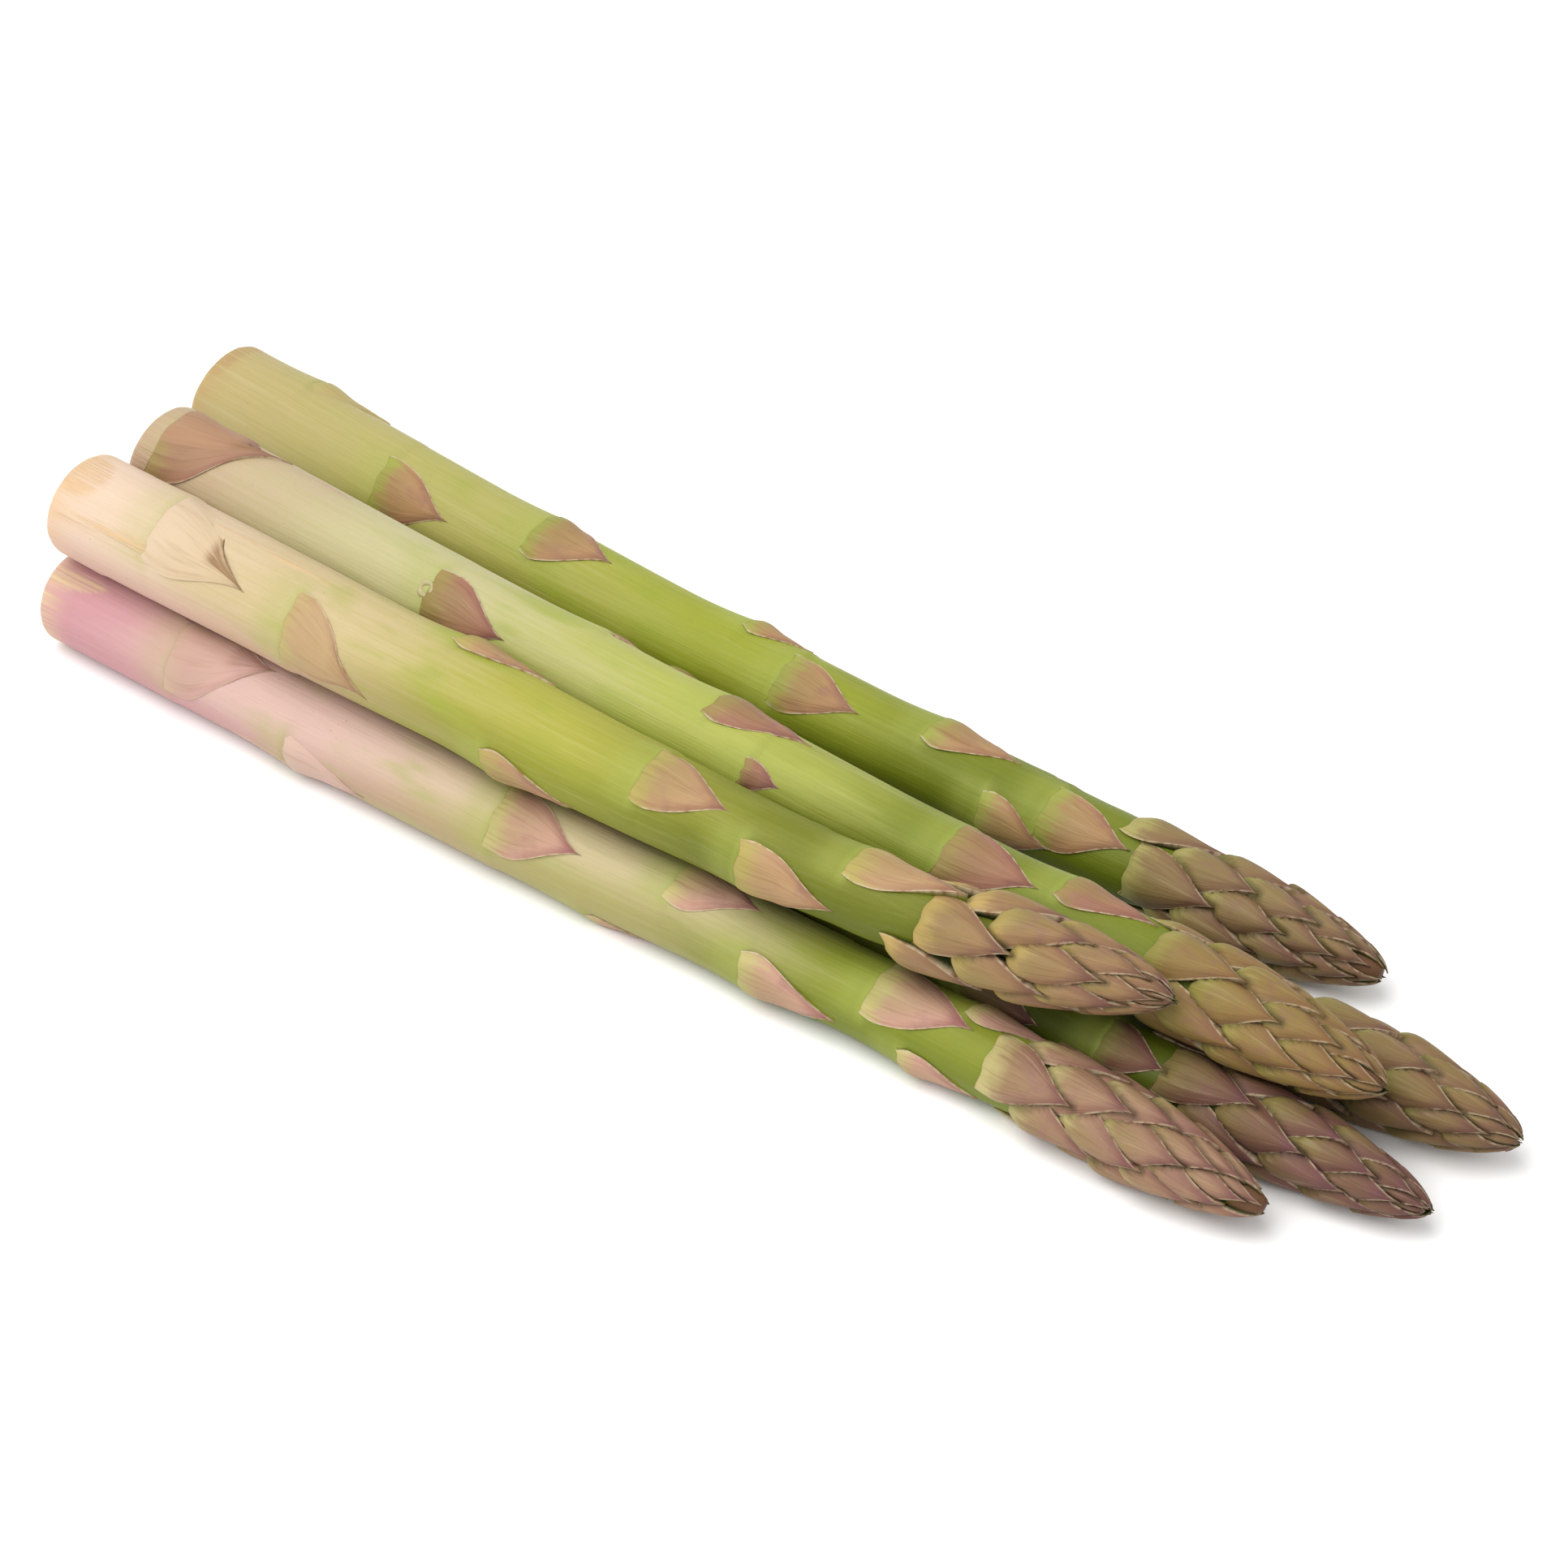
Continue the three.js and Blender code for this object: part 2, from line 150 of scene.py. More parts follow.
# Colours of a spear: its dried rim, its skin at the butt and on the lower side near it, partly
# its own blush and partly painted shade, its skin from there to the neck, then its stem's
# scales and its head's, from base to point.
COLORS = {
    "spear_back": dict(
        rim="#c9a877", butt="#c6b67e", side="#8d8a3a",
        low="#bcb86b", middle="#a6ae38", neck="#7d8820",
        scale_base="#aab052", scale_face="#ba9268", scale_point="#b8906a",
        head_base="#b6ae6a", head_face="#947a53", head_point="#81624a",
    ),
    "spear_inner_back": dict(
        rim="#c4a878", butt="#c6b684", side="#8f8f3c",
        low="#b9b66a", middle="#9fa646", neck="#748026",
        scale_base="#a3a450", scale_face="#a47e62", scale_point="#8f6554",
        head_base="#989150", head_face="#8f744c", head_point="#7a5d46",
    ),
    "spear_inner_front": dict(
        rim="#c0a480", butt="#c4ae86", side="#8a8436",
        low="#b3ae64", middle="#93993c", neck="#5f6a15",
        scale_base="#8f8a48", scale_face="#8a6550", scale_point="#7a4f48",
        head_base="#88754a", head_face="#7d5b48", head_point="#7b5056",
    ),
    "spear_front": dict(
        rim="#ecd2a8", butt="#d69fa7", side="#cf969e",
        low="#e2c1b8", middle="#d4c59c", neck="#939d33",
        scale_base="#cdc482", scale_face="#d0a590", scale_point="#c2867f",
        head_base="#d0c488", head_face="#a9856b", head_point="#93615f",
    ),
    "spear_top_back": dict(
        rim="#c8aa90", butt="#ccb496", side="#c7aa8c",
        low="#cdc797", middle="#babf5e", neck="#7f8b24",
        scale_base="#a79058", scale_face="#ab7c64", scale_point="#a06e5a",
        head_base="#a2994e", head_face="#987c47", head_point="#a47f43",
    ),
    "spear_top_front": dict(
        rim="#ecc79a", butt="#eed5bf", side="#dcb0a6",
        low="#d7c399", middle="#b4b34a", neck="#7d8422",
        scale_base="#bcae62", scale_face="#c09b72", scale_point="#bd9268",
        head_base="#c6aa66", head_face="#a4835b", head_point="#7d5847",
    ),
}

# Worn scale leaves: which one, how torn it is, how far its point leans round the stem, and
# how far its colour and its rim have faded into the stem's.
WORN = {
    "spear_back": ((0, 0.5, 0, 0.8),),
    "spear_front": ((0, 0.3, -25, 0.6), (1, 0, 0, 0.8)),
    "spear_top_back": ((0, 0.7, -55, 0.15),),
    "spear_top_front": ((1, 1, 30, 0.95), (2, 0.3, 40, 0.3)),
}

# Dry streaks of a stem: the middle's distance from the butt and its angle, the length, the
# width, the turn for each millimetre along, and how high it stands.
STREAKS = {
    "spear_front": ((4.5, 116, 11, 3.2, -1.7, -0.12), (45, 212, 22, 2.6, 0.1, -0.1)),
    "spear_top_front": (
        (14, 145, 30, 2.2, -0.67, 0.3),
        (2.5, 100, 9, 9, 0, 0),
        (36, 84, 26, 0.7, 0.1, 0.08),
    ),
    "spear_top_back": ((30, 62, 7, 1.2, 0, 0.15), (2.5, 150, 6, 5, 0, 0)),
    "spear_back": ((1.5, 80, 4, 14, 0, 0),),
}

# Scars of buds: the distance from the butt, the angle and the radius of each ring.
BUDS = {
    "spear_front": ((23.8, 94, 0.6),),
    "spear_top_back": ((53.6, 127, 0.95),),
    "spear_top_front": ((45.2, 122, 0.7),),
}

# ---- Rules shared with the solids ---------------------------------------------------

HEAD_PEAK = 24  # from the tip to the thickest place of the head
HEAD_END = 48  # from the tip to the neck
HEAD_CORE_FROM = 45  # from the tip to where the core starts to thin
CORE_SHARE = 0.55  # core as a share of the outer radius, at the head's thickest place
CORE_TIP_SHARE = 0.75  # and at the tip
CORE_TIP_LENGTH = 12  # from the tip to where the one share has become the other
TIP_RADIUS = 0.45
CUT_FADE = 9  # from the butt to where the slant of its cut has faded
SWELL_LENGTH = 12  # of a swelling, on the butt's side of a scale
SWELL_DROP = 1  # and behind the scale's base
HALF_GAP = 0.17  # from a spear to the plane that parts it from its neighbour
LEAST_FACING = 0.05  # cosine to a neighbour, under which the plane sets no limit
HEAD_SCALE_LENGTH = 14.5
HEAD_SCALE_WIDTH = 10.4
LENGTH_FADE = 7.5  # from the tip, where a scale has most of its length
WIDTH_FADE = 14  # and where it has most of its width

# ---- Details of the stems and the scale leaves --------------------------------------

CORE_END = 1  # from the tip to the last ring of the core
CORE_POINT = 0.3  # and from that ring to the core's point
CUT_RINGS = 9  # rings across a cut face
CUT_MIDDLE = 0.06  # radius of the innermost one, as a share of the butt's
RIM_RINGS = 8  # and round its rim
CUT_HOLLOW = 0.25  # how deep a cut face is hollow
CUT_EDGE = 0.5  # from the butt to where the colour of its cut ends
DRIED_RIM = 6  # and to where its dried rim ends
RELIEF_FADE = 40  # from the tip to where the stem has all its relief
RIBS = (5, 9, 14, 21)  # how many ribs of each kind go round a stem
RIB_TWIST = 0.012  # radians that they turn in a millimetre, at most
BUMPS = (1, 2, 3)  # how many slow bumps of each kind go round a stem
BUMP_PITCH = (0.03, 0.11)  # radians of their wave in a millimetre
ANY_TURN = 6.28  # radians
HEAD_LEAN = 8  # degrees that a scale of the head leans to a side, at most
BLADE_ROWS = 25  # rows along a scale, without its point
STEM_BLADE_POINTS = 17  # points across a scale of the stem
HEAD_BLADE_POINTS = 19  # and across one of the head
SCALE_LAST_ROW = 0.975  # the place along a scale of the row before its point
TIP_SQUEEZE = 2  # points of scales are drawn together from this far before the tip
TIP_REACH = 3  # and end less than this much farther on
TIP_REACH_FADE = 1.6  # over which they are drawn together
HEAD_SWELL = 0.25  # how far the base of a head's scale is raised
SCALE_STEP = 0.08  # the least height of a scale over what it grows from
RIM_SHARE = 0.4  # of its rim's height, that a scale keeps over the swelling below it
HEAD_RIM = 0.26  # how much higher in the head than on the stem a scale's rim is
HEAD_BULGE = 0.25  # and how much fuller its middle
RIDGE = 0.2  # height of the ridge to a scale's point
FADED_DROP = 0.35  # how far the lower rim of a faded scale sinks
TEAR_FROM = 0.58  # the place along a scale where its tear starts
LEAN_CURVE = 1.5  # how much more a scale leans near its point, as a power
ROOF_GAP = 0.06  # between a scale and one that covers it
LAYER_GAP = 0.02  # and this much more for each scale between the two
ROOF_FROM = 0.25  # from a covering scale's edge, where the room beside it starts to grow
ROOF_SLOPE = 2.8  # and how much for each millimetre
CREVICE_SHARE = 0.12  # of a covering scale's width, the shade beside its edge
CREVICE_DEPTH = 0.22  # how far a scale of full width sinks in that shade
LEAST_HEIGHT = 0.05  # of a covered scale, over the core
BURIED = 0.9  # of the core's radius, past which the inside of a scale doesn't reach
INSIDE_WIDTH = 0.86  # width of a scale's inside as a share of its outside's
RING_SIDES = 28  # points round the ring of a bud scar
WIRE_SIDES = 9  # and round its wire
BUD_LEAF = (0.0, 0.9, 0.5)  # a bud scar is coloured as this place of a scale is


def smooth(value):
    """A smooth step from 0 to 1 as value goes from 0 to 1: 3t^2 - 2t^3."""
    t = np.clip(value, 0, 1)
    return t * t * (3 - 2 * t)


def half_turn(angle):
    """The same turn, from -180 to 180 degrees."""
    return (angle + 180) % 360 - 180


def filled(value, *parts):
    """An array of one value, as large as the parts together."""
    return np.full(np.broadcast(*parts).shape, float(value))


def stacked(*parts):
    """An array of vectors, from their parts."""
    return np.stack(np.broadcast_arrays(*parts), -1)


def along(values, t):
    """The smooth curve through evenly spaced values, at t from 0 to 1.

    Between two values it is the cubic that meets both, with a slope at each that is half
    the difference of that value's neighbours.
    """
    values = np.asarray(values, float)
    last = len(values) - 1
    first_extra = 2 * values[0] - values[1]
    last_extra = 2 * values[-1] - values[-2]
    padded = np.concatenate(([first_extra], values, [last_extra]))
    place = np.clip(t, 0, 1) * last
    i = np.minimum(place.astype(int), last - 1)
    f = place - i
    before, here, there, after = (padded[i + k] for k in range(4))
    slope_in = (there - before) / 2
    slope_out = (after - here) / 2
    rise = there - here
    square = f * f * (3 * rise - 2 * slope_in - slope_out)
    return here + f * slope_in + square + f**3 * (slope_in + slope_out - 2 * rise)


def blade_outline(v):
    """Half-width of a scale as a share of its widest, at v from base, 0, to point, 1.

    1.1 (1 - v^1.35)^1.6 (0.84 + 1.25 v - 0.4 v^2): full shoulders, then a long point.
    """
    taper = np.clip(1 - v**1.35, 0, 1) ** 1.6
    return 1.1 * taper * (0.84 + 1.25 * v - 0.4 * v * v)


class Spear:
    """The spine, the radii and the scale leaves of one spear, and the room it has.

    Each row of scales has a scale's distance from the butt, its angle, its length, its
    width, how torn it is, how far its point leans round the stem, and how faded it is.
    """

    def __init__(self, name, row, sizes):
        self.name = name
        self.sizes = sizes
        self.butt, self.tip = row["x"]
        self.length = self.tip - self.butt
        self.y, self.z = row["y"], row["z"]
        self.radii = row["radius"]
        self.cut = row["cut"]
        self.head = row["head"]
        self.scales = np.pad(np.array(row["scales"], float), ((0, 0), (0, 3)))
        for which, *worn in WORN.get(name, ()):
            self.scales[which, 4:] = worn

    def spine(self, x):
        """The spine's y and z at x."""
        t = (x - self.butt) / self.length
        return along(self.y, t), along(self.z, t)

    def outer(self, from_tip):
        """Outer radius, scales of the head included, at a distance from the tip.

        A pointed bud, (1 - (1 - t)^1.7)^0.62 of the head's radius, then a smooth step down
        to the neck, then a stem that thickens to the butt along a parabola.
        """
        butt, neck, head = self.radii
        d = np.maximum(from_tip, 0)
        share = 1 - (1 - np.minimum(d / HEAD_PEAK, 1)) ** 1.7
        bud = TIP_RADIUS + (head - TIP_RADIUS) * share**0.62
        shoulder = smooth((HEAD_END - d) / (HEAD_END - HEAD_PEAK))
        t = np.clip((d - HEAD_END) / (self.length - HEAD_END), 0, 1)
        stem = neck + (butt - neck) * (1 - (1 - t) ** 2)
        return np.where(d < HEAD_PEAK, bud, stem + (head - neck) * shoulder)

    def core(self, from_tip):
        """Radius that the head's scales stand on, which below the head is the stem's."""
        in_head = smooth((HEAD_CORE_FROM - from_tip) / (HEAD_CORE_FROM - HEAD_PEAK))
        fuller = smooth(from_tip / CORE_TIP_LENGTH)
        share = CORE_TIP_SHARE + (CORE_SHARE - CORE_TIP_SHARE) * fuller
        return self.outer(from_tip) * (1 - (1 - share) * in_head)

    def swelling(self, x, angle):
        """How far the stem swells out before each scale of the stem.

        Each swelling rises as a square over its length, falls behind the scale's base, and
        fades round the stem as the sixth power of the cosine of half the angle.
        """
        height = filled(0, x, angle)
        for place, side, *_ in self.scales:
            ahead = x - self.butt - place
            rise = np.clip(1 + ahead / SWELL_LENGTH, 0, 1) ** 2
            fall = np.clip(1 - ahead / SWELL_DROP, 0, 1)
            facing = np.abs(np.cos(np.radians(angle - side) / 2)) ** 6
            height = height + self.sizes.swell * rise * fall * facing
        return height

    def room(self, x, angle, bundle):
        """The farthest that the spear may reach before it meets a neighbour.

        Two spears that press together are both flattened along the plane that parts their
        spines' distance as their radii, and past a neighbour's ends the plane draws away.
        """
        y, z = self.spine(x)
        own = self.outer(self.tip - x)
        room = filled(np.inf, x, angle)
        for other in bundle:
            if other is self:
                continue
            other_y, other_z = other.spine(x)
            theirs = other.outer(other.tip - x)
            beyond = np.maximum(np.maximum(other.butt - x, x - other.tip), 0)
            distance = np.hypot(other_y - y, other_z - z)
            plane = distance * own / (own + theirs) - HALF_GAP + beyond
            to_other = np.arctan2(other_z - z, other_y - y)
            facing = np.cos(np.radians(angle) - to_other)
            limit = plane / np.maximum(facing, LEAST_FACING)
            room = np.where(facing > LEAST_FACING, np.minimum(room, limit), room)
        return room

    def place(self, x, angle, distance, bundle):
        """Points at x, an angle and a distance from the spine, kept above the table."""
        y, z = self.spine(x)
        reach = np.minimum(distance, self.room(x, angle, bundle))
        turn = np.radians(angle)
        points = stacked(x, y + reach * np.cos(turn), z + reach * np.sin(turn))
        points[..., 2] = np.maximum(points[..., 2], 0)
        return points

    def head_scales(self, count):
        """The scales of the head, by the rule that most plants follow.

        Scale k stands at first * packing^k from the tip, turned k times by the same angle.
        Length and width fade to nothing at the tip as 1 - exp(-distance / fade).
        """
        first, side, turn, packing = self.head
        k = np.arange(count)
        from_tip = first * packing**k
        length = HEAD_SCALE_LENGTH * (1 - np.exp(-from_tip / LENGTH_FADE))
        width = HEAD_SCALE_WIDTH * (1 - np.exp(-from_tip / WIDTH_FADE))
        lean = seed_of(self.name + "lean").uniform(-HEAD_LEAN, HEAD_LEAN, count)
        place, angle, plain = self.length - from_tip, side + turn * k, np.zeros(count)
        return np.stack([place, angle, length, width, plain, lean, plain], -1)


def the_bundle(sizes):
    """All six spears, with the sizes from the panel."""
    return [Spear(name, row, sizes) for name, row in SPEARS.items()]


def seed_of(name):
    """A steady random generator for one piece."""
    return np.random.default_rng(sum(ord(letter) * 31 for letter in name))


# ---- Meshes -------------------------------------------------------------------------


def put(name, data, place=(0, 0, 0), back=None):
    """Links an object to the scene. With back given, it faces the other way from that."""
    thing = bpy.data.objects.new(name, data)
    thing.location = place
    if back is not None:
        thing.rotation_mode = "QUATERNION"
        thing.rotation_quaternion = (-back).to_track_quat("-Z", "Y")
    bpy.context.scene.collection.objects.link(thing)
    return thing


def mesh_object(name, points, faces, attributes, walls=()):
    """A mesh in metres from points in millimetres, as an object of the scene.

    faces and walls are lists of whole arrays, each of triangles or of four-cornered faces.
    Faces are shaded smooth, and walls flat. attributes holds arrays with one number or
    three numbers for each point.
    """
    mesh = bpy.data.meshes.new(name)
    smooth_sides = sum(len(part) for part in faces)
    faces = [*faces, *walls]
    sides = np.concatenate([np.full(len(part), part.shape[1]) for part in faces])
    corners = np.concatenate([part.ravel() for part in faces])
    mesh.vertices.add(len(points))
    mesh.vertices.foreach_set("co", (points * MM).astype(np.float32).ravel())
    mesh.loops.add(len(corners))
    mesh.loops.foreach_set("vertex_index", corners.astype(np.int32))
    mesh.polygons.add(len(sides))
    starts = np.concatenate(([0], np.cumsum(sides)[:-1]))
    mesh.polygons.foreach_set("loop_start", starts.astype(np.int32))
    mesh.polygons.foreach_set("loop_total", sides.astype(np.int32))
    mesh.polygons.foreach_set("use_smooth", np.arange(len(sides)) < smooth_sides)
    for title, values in attributes.items():
        kind = ("FLOAT", "value") if values.ndim == 1 else ("FLOAT_VECTOR", "vector")
        layer = mesh.attributes.new(title, kind[0], "POINT")
        layer.data.foreach_set(kind[1], values.astype(np.float32).ravel())
    mesh.update(calc_edges=True)
    mesh.validate()
    return put(name, mesh)


def tube_faces(rows, sides):
    """Faces of a closed tube of rings, with a point at each end, rings first."""
    ring = np.arange(sides)
    after = (ring + 1) % sides
    row = np.arange(rows - 1)[:, None] * sides
    walls = stacked(row + ring, row + after, row + after + sides, row + ring + sides)
    first_point, last_point = rows * sides, rows * sides + 1
    top = (rows - 1) * sides
    start = stacked(first_point, after, ring)
    end = stacked(last_point, top + ring, top + after)
    return [walls.reshape(-1, 4), start, end]


def blade_faces(count, rows, across):
    """Faces of count blades, each an outer grid, an inner grid and one shared point.

    The second result is the thin wall round each blade, between the two grids.
    """
    grid = rows * across
    point = 2 * grid
    index = np.arange(grid).reshape(rows, across)
    last = index[-1]
    a, b, c, d = index[:-1, :-1], index[:-1, 1:], index[1:, 1:], index[1:, :-1]
    edges = (
        (index[0, 1:], index[0, :-1]),
        (index[:-1, 0], index[1:, 0]),
        (index[1:, -1], index[:-1, -1]),
    )
    strips = [(second, first, first + grid, second + grid) for first, second in edges]

    def on_all(*faces):
        """Faces of every blade, from those of one as arrays of their corners."""
        one = np.concatenate([stacked(*part).reshape(-1, len(part)) for part in faces])
        steps = (np.arange(count) * (point + 1))[:, None, None]
        return (one + steps).reshape(-1, one.shape[1])

    both = on_all((a, b, c, d), (a + grid, d + grid, c + grid, b + grid))
    tips = on_all((last[:-1], last[1:], point), (last[1:] + grid, last[:-1] + grid, point))
    ends = on_all((last[0] + grid, last[0], point), (last[-1], last[-1] + grid, point))
    return [both, tips], [on_all(*strips), ends]


def grown_at(spear, x, angle):
    """Where a point is on the spear when it is straightened out, in millimetres."""
    radius = spear.outer(spear.tip - x)
    turn = np.radians(angle)
    return stacked(x - spear.butt, radius * np.cos(turn), radius * np.sin(turn))


def stem_relief(spear, along_stem, angle):
    """Faint ribs and slow unevenness of a stem.

    Ribs are cosines of whole multiples of the angle, each with its own start and a slow
    twist. Unevenness is the product of slow waves along and round the stem.
    """
    random = seed_of(spear.name)
    turn = np.radians(angle)
    height = filled(0, along_stem, angle)
    for ribs in RIBS:
        start, twist = random.uniform(0, ANY_TURN), random.uniform(-RIB_TWIST, RIB_TWIST)
        strength = spear.sizes.rib / ribs**0.5
        height = height + strength * np.cos(ribs * (turn + twist * along_stem) + start)
    for waves in BUMPS:
        start, pitch = random.uniform(0, ANY_TURN, 2), random.uniform(*BUMP_PITCH)
        bend = np.cos(waves * turn + start[0]) * np.cos(pitch * along_stem + start[1])
        height = height + spear.sizes.uneven * bend
    return height


def dry_streaks(spear, away, angle):
    """How dry a stem is and how much it is raised, for its dry streaks.

    Each streak is a long spot, 1 - (length share)^2 - (width share)^2 above zero, whose
    middle line turns slowly round the stem.
    """
    dry, raised = filled(0, away, angle), filled(0, away, angle)
    for place, side, length, width, twist, height in STREAKS.get(spear.name, ()):
        ahead = away - place
        off = half_turn(angle - side - twist * ahead)
        arc = np.radians(off) * spear.outer(spear.length - away)
        spot = np.clip(1 - (2 * ahead / length) ** 2 - (2 * arc / width) ** 2, 0, 1)
        dry = np.maximum(dry, smooth(2 * spot))
        raised = raised + height * smooth(spot)
    return dry, raised


def collars(spear, away, angle):
    """Greener skin on the butt's side of each scale: two fading bands of its width.

    At d ahead of its base they are 0.6 exp(-(d / 0.9)^2) + 0.55 exp(-((d + 2.5) / 3)^2).
    """
    collar = filled(0, away, angle)
    for place, side, _, width, *_ in spear.scales:
        ahead = away - place
        near = 0.6 * np.exp(-((ahead / 0.9) ** 2))
        near = near + 0.55 * np.exp(-((ahead + 2.5) ** 2) / 9)
        reach = np.degrees(width / 2 / spear.outer(spear.length - away))
        off = np.abs(half_turn(angle - side)) / reach
        collar = np.maximum(collar, near * (1 - smooth((off - 0.8) / 0.6)))
    return collar


def make_stem(spear, bundle):
    """The stem and the core of the head, from the cut face to the point.

    A profile of rows is carried along the spine: rows across the cut face, a quarter of a
    circle at its rim, then the side. Each row has its distance from the butt, the share of
    the radius it reaches, how far it stays inside that radius and how deep it lies in the
    hollow of the cut, 1 - share^2.
    """
    sizes = spear.sizes
    face = np.linspace(CUT_MIDDLE, 1, CUT_RINGS + 1)[:-1]
    quarter = np.linspace(0, np.pi / 2, RIM_RINGS)
    side_rows = int(spear.length / sizes.ring_step)
    side = np.linspace(sizes.rim, spear.length - CORE_END, side_rows)[1:]
    on_face, on_rim, on_side = (np.zeros_like(part) for part in (face, quarter, side))
    rise = sizes.rim * (1 - np.cos(quarter))
    fall = sizes.rim * (1 - np.sin(quarter))
    hollow = CUT_HOLLOW * (1 - face**2)

    def profile(*parts):
        """One value for each row, from those of the cut face, the rim and the side."""
        return np.concatenate(parts)[:, None]

    away = profile(on_face, rise, side)
    inset = profile(on_face + sizes.rim, fall, on_side)
    share = profile(face, on_rim + 1, on_side + 1)
    dish = profile(hollow, on_rim, on_side)
    angle = (np.arange(sizes.sides) * 360 / sizes.sides)[None, :]
    slant, slant_side = spear.cut
    lean = slant * np.cos(np.radians(angle - slant_side)) * (1 - smooth(away / CUT_FADE))
    x = spear.butt + away + dish - lean * share
    dry, raised = dry_streaks(spear, away, angle)
    radius = spear.core(spear.tip - x) + spear.swelling(x, angle)
    relief = stem_relief(spear, away, angle)
    relief = relief * smooth((spear.length - away) / RELIEF_FADE)
    reach = (radius + relief + raised - inset) * share
    points = spear.place(x, angle, reach, bundle)
    ends = [points[0].mean(0), points[-1].mean(0) + (CORE_POINT, 0, 0)]
    spots = grown_at(spear, x, angle)
    spots[..., 1:] *= share[..., None]

    def with_ends(values, first, last):
        """One value for each point, and then for the points at both ends."""
        whole = np.broadcast_to(values, x.shape)
        return np.concatenate([whole.ravel(), [first, last]])

    attributes = {
        "share": with_ends((x - spear.butt) / spear.length, 0, 1),
        "collar": with_ends(collars(spear, away, angle), 0, 0),
        "cut": with_ends(1 - smooth(away / CUT_EDGE), 1, 0),
        "rim": with_ends(share * (1 - smooth(away / DRIED_RIM)), 0, 0),
        "dry": with_ends(dry, 0, 1),
        "grown_at": np.concatenate([spots.reshape(-1, 3), [(0, 0, 0), (spear.length, 0, 0)]]),
    }
    whole = np.concatenate([points.reshape(-1, 3), ends])
    faces = tube_faces(len(away), sizes.sides)
    return mesh_object(f"{spear.name}_stem", whole, faces, attributes)


def blade_rise(sizes, u, v, small, depth, in_head, keel=-1.0, faded=0.0):
    """Heights of a blade: of its rim over the core, and of its middle over its rim.

    The middle is a bulge (1 - |u|^2.2) sin(pi v^0.6) that is fuller near the base. In a
    head the core is thin, and each blade rises through the depth over it as 0.2 + 0.75 v,
    so that lower blades lie over higher ones.
    """
    edge = small * (sizes.edge + HEAD_RIM * in_head) * smooth(v / 0.2) * (1 - 0.4 * v)
    full = sizes.bulge * (1 - 0.5 * faded) + 0.15 * keel + HEAD_BULGE * in_head
    full = small * full + 0.5 * depth * (1 - v)
    bulge = full * (1 - np.abs(u) ** 2.2) * np.sin(np.pi * v**0.6)
    return edge * (1 - faded), bulge + np.maximum(depth - 0.3, 0) * (0.2 + 0.75 * v)


def covered_by(spear, x, angle, rows, first, depth, ground):
    """How high each point may stand under the scales that cover it, and the shade beside their
    edges, which sinks a scale there and, in the head, is painted on it as shade.

    x and angle hold one scale in each row of their first axis, and rows gives the scales
    of the stem, which are as many as first, and of the head. Scale k is covered by the
    rows before first + k. A covering scale leaves room for its own height at that place,
    and from a little beside its edge the room grows as ROOF_SLOPE times the distance.
    """
    room, shade = filled(99, x, angle), filled(0, x, angle)
    radius = spear.outer(spear.tip - x)
    order = np.arange(len(room))[:, None, None] + first
    for which, (place, side, length, width, _, lean, _) in enumerate(rows):
        v = (x - spear.butt - place) / length
        on_blade = np.clip(v, 0, 1)
        off = half_turn(angle - side - lean * on_blade**LEAN_CURVE)
        half = blade_outline(on_blade) * width / 2
        across = np.abs(np.radians(off)) * radius
        ahead = np.maximum(v - 1, -v) * length
        away = np.hypot(np.maximum(across - half, 0), np.maximum(ahead, 0))
        small = min(width / HEAD_SCALE_WIDTH, 1)
        u = np.minimum(across / np.maximum(half, 0.01), 1)
        edge, rise = blade_rise(spear.sizes, u, on_blade, small, depth, which >= first)
        roof = np.maximum(edge + rise, ground + RIM_SHARE * edge)
        roof = roof + ROOF_SLOPE * np.maximum(away - ROOF_FROM, 0)
        roof = roof - ROOF_GAP - LAYER_GAP * (order - which)
        covers = which < order
        near = 1 - smooth(away / (CREVICE_SHARE * width))
        room = np.where(covers, np.minimum(room, roof), room)
        shade = np.where(covers, np.maximum(shade, near), shade)
    return room, shade


